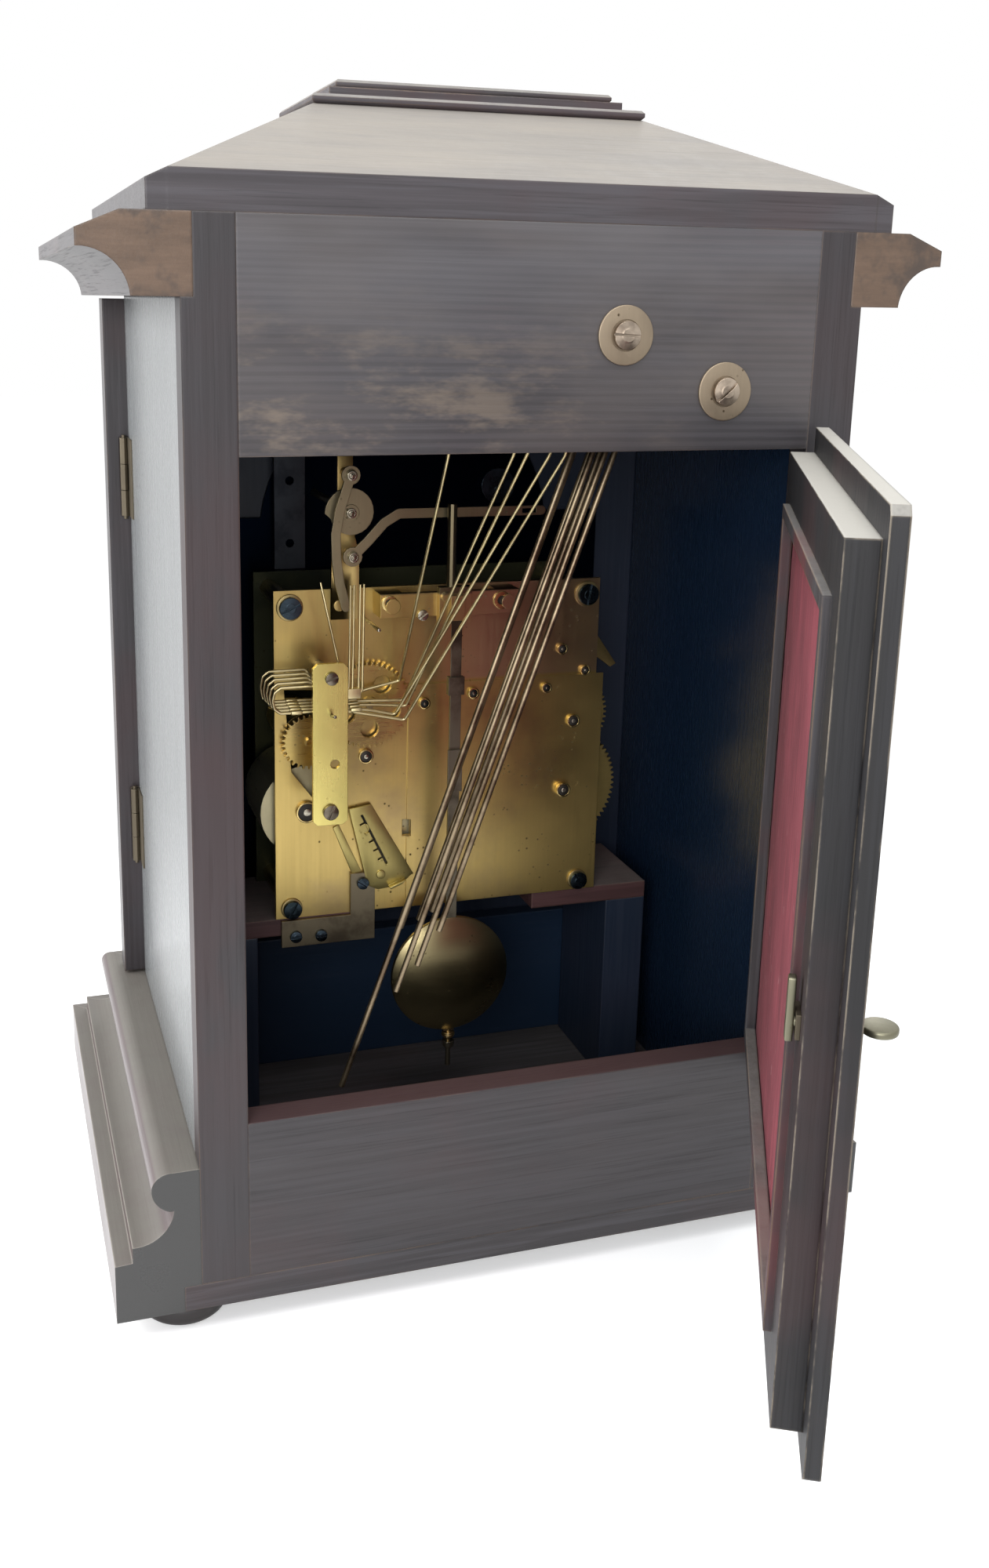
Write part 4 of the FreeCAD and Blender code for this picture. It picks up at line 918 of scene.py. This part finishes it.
class CLOCK_OT_movement(bpy.types.Operator):
    """Finishes the plates, wheels, levers and hinges"""

    bl_idname = "clock.movement"
    bl_label = "Movement"

    def execute(self, context):
        metal = context.scene.clock_metal
        brass, tarnish = tuple(metal.brass), tuple(metal.tarnish)
        dress(aged_brass("back_plate_brass", brass, tarnish, coppery, "Z", 0.34, 0.8, plate_shade),
              "back_plate")
        dress(aged_brass("cock_brass", brass, tarnish, coppery, "X", 0.34, 0.6, cock_shade),
              "back_cock")
        # Painted shade: the front plate is brass darkened almost to black, as it lies in shade
        # behind the back plate.
        dress(aged_brass("front_plate_shaded_brass", (0.05, 0.052, 0.03), (0.02, 0.024, 0.02), rough=0.5),
              "front_plate")
        dress(aged_brass("barrel_brass", (0.62, 0.56, 0.36), (0.4, 0.35, 0.22), rough=0.5),
              "spring_barrels")
        dress(aged_brass("bright_brass", (0.78, 0.66, 0.22), (0.62, 0.5, 0.17), rough=0.24,
                         specks=0.2), "hammer_bridge")
        dress(aged_brass("wheel_brass", brass, tarnish, brushed="X", rough=0.3),
              "strike_great", "strike_second", "pin_barrel", "chime_wheel")
        dress(aged_brass("lever_brass", (0.25, 0.21, 0.13), (0.13, 0.105, 0.07), rough=0.38),
              "lift_arm", "reg_cam", "selector_lever")
        dress(aged_brass("pillar_brass", (0.38, 0.3, 0.17), tarnish), "pillars_pivots")
        dress(plain_metal("bracket_metal", (0.23, 0.195, 0.13), (0.14, 0.115, 0.08), 0.4),
              "seat_bracket")
        dress(aged_brass("hinge_brass", (0.13, 0.11, 0.08), (0.05, 0.045, 0.035), rough=0.5),
              "hinge_leaves", "rear_door_brass", "front_door_brass")
        dress(plain_metal("dark_bar", (0.05, 0.055, 0.065), (0.03, 0.033, 0.04), 0.45), "dial_feet")
        return {"FINISHED"}


def notched_rack():
    """The rack, with its slanted slot and notches, its folded rim and its thin leaf."""
    along = Vector((47 - 31.8, 0, 209 - 178)).normalized()
    aside = Vector((along.z, 0, -along.x))
    slant = math.degrees(math.atan2(along.x, along.z))
    middle = Vector((39.4, 0, 193.5))

    def bar(centre, wide, tall, y0, y1):
        x, _, z = centre
        piece = block(x - wide / 2, x + wide / 2, y0, y1, z - tall / 2, z + tall / 2)
        return turned_about(piece, at(x, y0, z), slant)

    rack = plate([(54.2, 212.7), (41.3, 214.5), (16.4, 171.2), (20.5, 167.4), (30.4, 163.8),
                  (37, 163.2), (42, 165.6), (44.2, 170.2)], PLATE + 1.2, PLATE + 2.8)
    rack = cut_away(rack, bar(middle, 1.3, 34, PLATE, PLATE + 5))
    for step in (-12, -6, 0, 6, 12):
        notch = bar(middle + along * step + aside * 1.9, 3, 1.1, PLATE, PLATE + 5)
        rack = cut_away(rack, notch)
    tongue = bar(middle + aside * 0.8, 5.5, 35, PLATE + 0.05, PLATE + 1.15)
    finished([tongue], "rack_tongue", "case", "dark_steel",
             plain_metal("tongue_steel", (0.05, 0.045, 0.035), (0.02, 0.02, 0.018), 0.45))
    rim = plate([(16.4, 171.2), (20.5, 167.4), (30.4, 163.8), (31, 165), (21.2, 168.8),
                 (17.8, 172.6)], PLATE + 2.6, PLATE + 6)
    leaf = plate([(63, 202), (59.5, 203.5), (43.6, 168.4), (50.2, 169.4)], PLATE + 0.02,
                 PLATE + 1.1)
    boss = along_y(35.6, PLATE + 2.6, PLATE + 4, 172.3, 2.6, 32, 0.4)
    foot = along_y(45, PLATE, PLATE + 1.4, 200, 3, 28)
    finished([rack, rim, leaf, boss, foot], "strike_rack", "case", "brass_part",
             aged_brass("rack_brass", (0.52, 0.43, 0.16), (0.36, 0.28, 0.11), rough=0.42,
                        specks=0.2))


class CLOCK_OT_brackets(bpy.types.Operator):
    """Cuts the cam cock, the notched rack and the side lever from sheet"""

    bl_idname = "clock.brackets"
    bl_label = "Brackets"

    def execute(self, context):
        brass = aged_brass("bracket_brass", (0.42, 0.3, 0.12), (0.25, 0.17, 0.07), rough=0.36)
        front = PLATE + 2
        foot = plate([(49, 321), (64.2, 321), (64.2, 357), (61, 372), (52.5, 372), (49, 357)],
                     PLATE, front)
        strap = block(52.5, 61, PLATE, front, 371.5, 409, 0.25)
        cock = [cut_away(foot, along_y(62, PLATE - 1, front + 1, 352, 1.3, 20)),
                cut_away(strap, along_y(56, PLATE - 1, front + 1, 380, 2.06, 28)),
                along_y(57.4, front, -119.1, 400.5, 2.4, 28, 0.2),
                along_y(55.5, front, -122.4, 357, 2.4, 28, 0.2),
                along_y(60.2, front, front + 2, 329, 3.2, 32, 0.4)]
        finished(cock, "cam_cock", "case", "brass_part", brass, "brass_brackets")
        lever = [plate([(-96.5, 305), (-112, 283), (-108.5, 281), (-96.5, 290)], -152, -150),
                 block(-96.5, -93, -152, -150, 290, 305, 0.2),
                 block(-93, -87, -152, -138, 290, 305, 0.2)]
        finished(lever, "side_lever", "case", "brass_part", brass)
        notched_rack()
        return {"FINISHED"}


class CLOCK_OT_pivots(bpy.types.Operator):
    """Makes the rings, pins and small screws of the back plate, the levers and the bridge"""

    bl_idname = "clock.pivots"
    bl_label = "Pivots"

    def execute(self, context):
        steel = plain_metal("pivot_steel", (0.46, 0.42, 0.34), (0.2, 0.17, 0.12), 0.25)
        rings, sinks, pins = (list(parts) for parts in zip(*(pivot(*spot) for spot in (
            (44.2, PLATE, 242.4, 3, 1.75), (77.7, PLATE, 212.6, 4.9, 1.75),
            (-70.9, PLATE, 297.6, 2, 1.75), (-85.5, PLATE, 284.3, 1.8, 1.75),
            (-61.7, LOWER_PLATE, 275.6, 1.8, 1.75), (-17.7, LOWER_PLATE, 275.1, 2, 1.75),
            (-21.4, PLATE, 327.5, 1.8, 1.75), (10.9, LOWER_PLATE, 271, 2, 1.75),
            (-73.8, LOWER_PLATE, 213.8, 3, 3.2), (-79, LOWER_PLATE, 254.8, 2.6, 1.6)))))
        for body, x, y, z in (("selector_lever", 57.4, -116.2, 400.5),
                              ("reg_cam", 56, -122.8, 380), ("lift_arm", 55.5, -119.8, 357)):
            finished(pivot(x, y, z, 1.4, 1.2), body + "_pivot", body, "steel", steel)
        pins += [along_y(45.3, PLATE, BRIDGE, 320.6, 1, 24, 0.3),
                 slotted_screw(17.1, COCK - 0.1, COCK + 1.4, 324.4, 3, 30)]
        for x, z, radius in ((35.8, 331.6, 4.4), (-27.8, 330.8, 5)):
            boss = along_y(x, COCK - 0.2, COCK + 0.9, z, radius, 48, 0.3)
            rings.append(cut_away(boss, along_y(x, COCK + 0.2, COCK + 2, z, 2.5, 32)))
            sinks.append(along_y(x, COCK - 0.2, COCK + 0.5, z, 2.4, 32))
        finished(sinks, "oil_sinks", "case", "dark_steel",
                 plain_metal("sink_steel", (0.06, 0.055, 0.05), (0.03, 0.03, 0.03), 0.5))
        finished(rings, "pivot_rings", "case", "brass_part",
                 aged_brass("ring_brass", (0.62, 0.47, 0.2), (0.3, 0.2, 0.09), rough=0.22))
        finished(pins, "pivot_pins", "case", "steel", steel)
        post = BRIDGE - 2.5
        fixings = [slotted_screw(71, BRIDGE, BRIDGE + 1.8, 296, 3.5, 20),
                   slotted_screw(71.5, BRIDGE, BRIDGE + 2.1, 222.4, 4.2, 65),
                   along_y(71, PLATE, post, 296, 3, 28),
                   along_y(71.5, PLATE, post, 222, 3, 28),
                   along_y(STUD[0], PLATE, post, STUD[1], 1.5, 24),
                   turned_bar(at(70.7, -104.2, 275.4), at(70.7, -96.6, 277.1), 0.9, 24, 0.3)]
        finished(fixings, "bridge_screws", "case", "dark_steel",
                 plain_metal("bridge_steel", (0.2, 0.17, 0.13), (0.08, 0.065, 0.05), 0.3, "X"),
                 "bridge_fixings")
        return {"FINISHED"}


def dial_marks():
    """Twelve numerals and sixty ticks, each made at the top and turned round the dial."""
    centre = at(0, DIAL, DIAL_HEIGHT)
    marks = []
    numerals = ("XII", "I", "II", "III", "IV", "V", "VI", "VII", "VIII", "IX", "X", "XI")
    for n, text in enumerate(numerals):
        clear_selection()
        bpy.ops.object.text_add(location=at(0, DIAL, DIAL_HEIGHT + 98),
                                rotation=(math.radians(90), 0, 0))
        words = bpy.context.object.data
        words.body = text
        words.size = 0.0145
        words.align_x = words.align_y = "CENTER"
        words.extrude = 0.0002
        bpy.ops.object.convert(target="MESH")
        marks.append(turned_about(settle(bpy.context.object), centre, n * 30))
    low = DIAL_HEIGHT + 106.4
    for n in range(60):
        wide, tall = (0.5, 4.2) if n % 5 == 0 else (0.2, 3)
        tick = block(-wide, wide, DIAL - 0.2, DIAL + 0.1, low, low + tall)
        marks.append(turned_about(tick, centre, n * 6))
    return marks


class CLOCK_OT_dial(bpy.types.Operator):
    """Finishes the dial, with plain numerals and a minute track, and the glass"""

    bl_idname = "clock.dial"
    bl_label = "Dial"

    def execute(self, context):
        metal = context.scene.clock_metal
        # The dial's back and edges get a painted shade of blue black; only its front face keeps the
        # brass.
        dress(aged_brass("dial_brass", tuple(metal.brass), tuple(metal.tarnish), rough=0.4,
                         back=lambda f: f.facing("Y").above(-0.5, 0.1)), "dial_plate")
        dress(aged_brass("silvered_ring", (0.62, 0.6, 0.55), (0.42, 0.38, 0.3), rough=0.45,
                         brushed="X"), "dial_rings")
        dress(plain_metal("blued_hand", tuple(metal.blued), (0.03, 0.04, 0.05), 0.3),
              "minute_hand", "hour_hand", "chime_hand")
        ink = Finish("black_wax", specular=0.4)
        cloud = ink.noise(90, 3)
        ink.tint = ink.blend(cloud, (0.012, 0.012, 0.012), (0.035, 0.032, 0.03))
        ink.surface(0.4 + 0.2 * cloud)
        finished(dial_marks(), "dial_marks", "case", "dark_steel", ink.material)
        glass = Finish("old_glass", specular=0.5)
        smear = glass.noise(18, 4, 0.6)
        glass.tint = glass.blend(smear, (0.3, 0.34, 0.34), (0.38, 0.42, 0.41))
        glass.surface(0.04 + 0.08 * smear)
        glass.set("Alpha", 0.06 + 0.05 * smear)
        dress(glass.material, "front_door_glass")
        return {"FINISHED"}


def pale_floor():
    """A pale floor that keeps the shadow near the clock and is white further out."""
    clear_selection()
    bpy.ops.mesh.primitive_plane_add(size=14, location=(0, 0, -0.0004))
    floor = bpy.context.object
    floor.name = "floor"
    f = Finish("pale_floor", specular=0.1)
    seen = f.in_view()
    far = ((f.x * f.x + f.y * f.y) ** 0.5).above(0.6, 0.35) * seen
    f.tint = f.blend(far, (0.75, 0.75, 0.75), (0, 0, 0))
    f.surface(0.9)
    near = f.blend(seen, (0, 0, 0), (0.36, 0.36, 0.36))
    f.set("Emission Color", f.blend(far, near, (1, 1, 1)))
    f.set("Emission Strength", 1)
    floor.data.materials.append(f.material)


def photo_camera():
    """The photograph's camera, solved from the case's straight edges."""
    sensor, tall = 36, 2000    # millimetres and pixels of the photograph's long side
    right = Vector((-0.95681, 0.29033, 0.01525)).normalized()
    up = Vector((-0.05475, -0.23147, 0.97130))
    up = (up - right * up.dot(right)).normalized()
    turn = Matrix((right, up, right.cross(up))).transposed().to_4x4()
    bpy.ops.object.camera_add()
    camera = bpy.context.object
    camera.name = "photo_camera"
    camera.matrix_world = Matrix.Translation(at(246.41, 625.44, 488.63)) @ turn
    camera.data.sensor_width = sensor
    camera.data.lens = 1885.06 / tall * sensor
    camera.data.shift_x = (630.5 - 537.11) / tall
    camera.data.shift_y = (844.58 - 1000) / tall
    camera.data.clip_start = 0.01
    return camera


class CLOCK_OT_stage(bpy.types.Operator):
    """Sets up the pale floor, the soft lamps and the camera"""

    bl_idname = "clock.stage"
    bl_label = "Stage"

    def execute(self, context):
        pale_floor()
        world = bpy.data.worlds.new("studio")
        context.scene.world = world
        sky = Nodes(world)
        ambient = sky.node("Background", {0: (0.93, 0.96, 1), 1: 0.85})
        white = sky.node("Background", {0: (1, 1, 1)})
        mix = sky.node("MixShader", {0: sky.in_view(), 1: ambient.outputs[0],
                                     2: white.outputs[0]})
        sky.node("OutputWorld", {0: mix.outputs[0]})
        aim = Vector((0, 0, 0.28))
        for name, place, size, power in (("side_lamp", (1.5, -0.5, 1), 1.1, 36),
                                         ("top_lamp", (0.1, 0.3, 1.9), 1.2, 21),
                                         ("rear_lamp", (0.9, 1.7, 0.9), 1, 24),
                                         ("front_lamp", (-0.8, -1.7, 1), 1, 15)):
            bpy.ops.object.light_add(type="AREA", location=place)
            lamp = bpy.context.object
            lamp.name = name
            lamp.data.size = size
            lamp.data.energy = power
            lamp.rotation_euler = (aim - Vector(place)).to_track_quat("-Z", "Y").to_euler()
        context.scene.camera = photo_camera()
        context.scene.view_settings.view_transform = "Standard"
        return {"FINISHED"}


class CLOCK_PT_panel(bpy.types.Panel):
    """Lists the steps that dress the clock"""

    bl_label = "Bracket clock"
    bl_idname = "CLOCK_PT_panel"
    bl_space_type = "VIEW_3D"
    bl_region_type = "UI"
    bl_category = "Clock"

    def draw(self, context):
        for name in GROUPS:
            group = getattr(context.scene, name)
            box = self.layout.box()
            for row in group.__annotations__:
                box.prop(group, row)
        for step in STEPS:
            self.layout.operator(step.bl_idname)


GROUPS = {"clock_wood": ClockWood, "clock_metal": ClockMetal, "clock_cloth": ClockCloth}
STEPS = (CLOCK_OT_stage, CLOCK_OT_case_wood, CLOCK_OT_feet, CLOCK_OT_door_cloth, CLOCK_OT_gong,
         CLOCK_OT_gong_screws, CLOCK_OT_plate_screws, CLOCK_OT_pendulum, CLOCK_OT_hammers,
         CLOCK_OT_latches, CLOCK_OT_movement, CLOCK_OT_brackets, CLOCK_OT_pivots, CLOCK_OT_dial)
CLASSES = (*GROUPS.values(), *STEPS, CLOCK_PT_panel)


def register():
    for cls in CLASSES:
        bpy.utils.register_class(cls)
    for name, group in GROUPS.items():
        setattr(bpy.types.Scene, name, PointerProperty(type=group))


def unregister():
    for name in GROUPS:
        delattr(bpy.types.Scene, name)
    for cls in reversed(CLASSES):
        bpy.utils.unregister_class(cls)


def main():
    register()
    for step in STEPS:
        group, name = step.bl_idname.split(".")
        getattr(getattr(bpy.ops, group), name)()
    clear_selection()


if __name__ == "__main__":
    main()
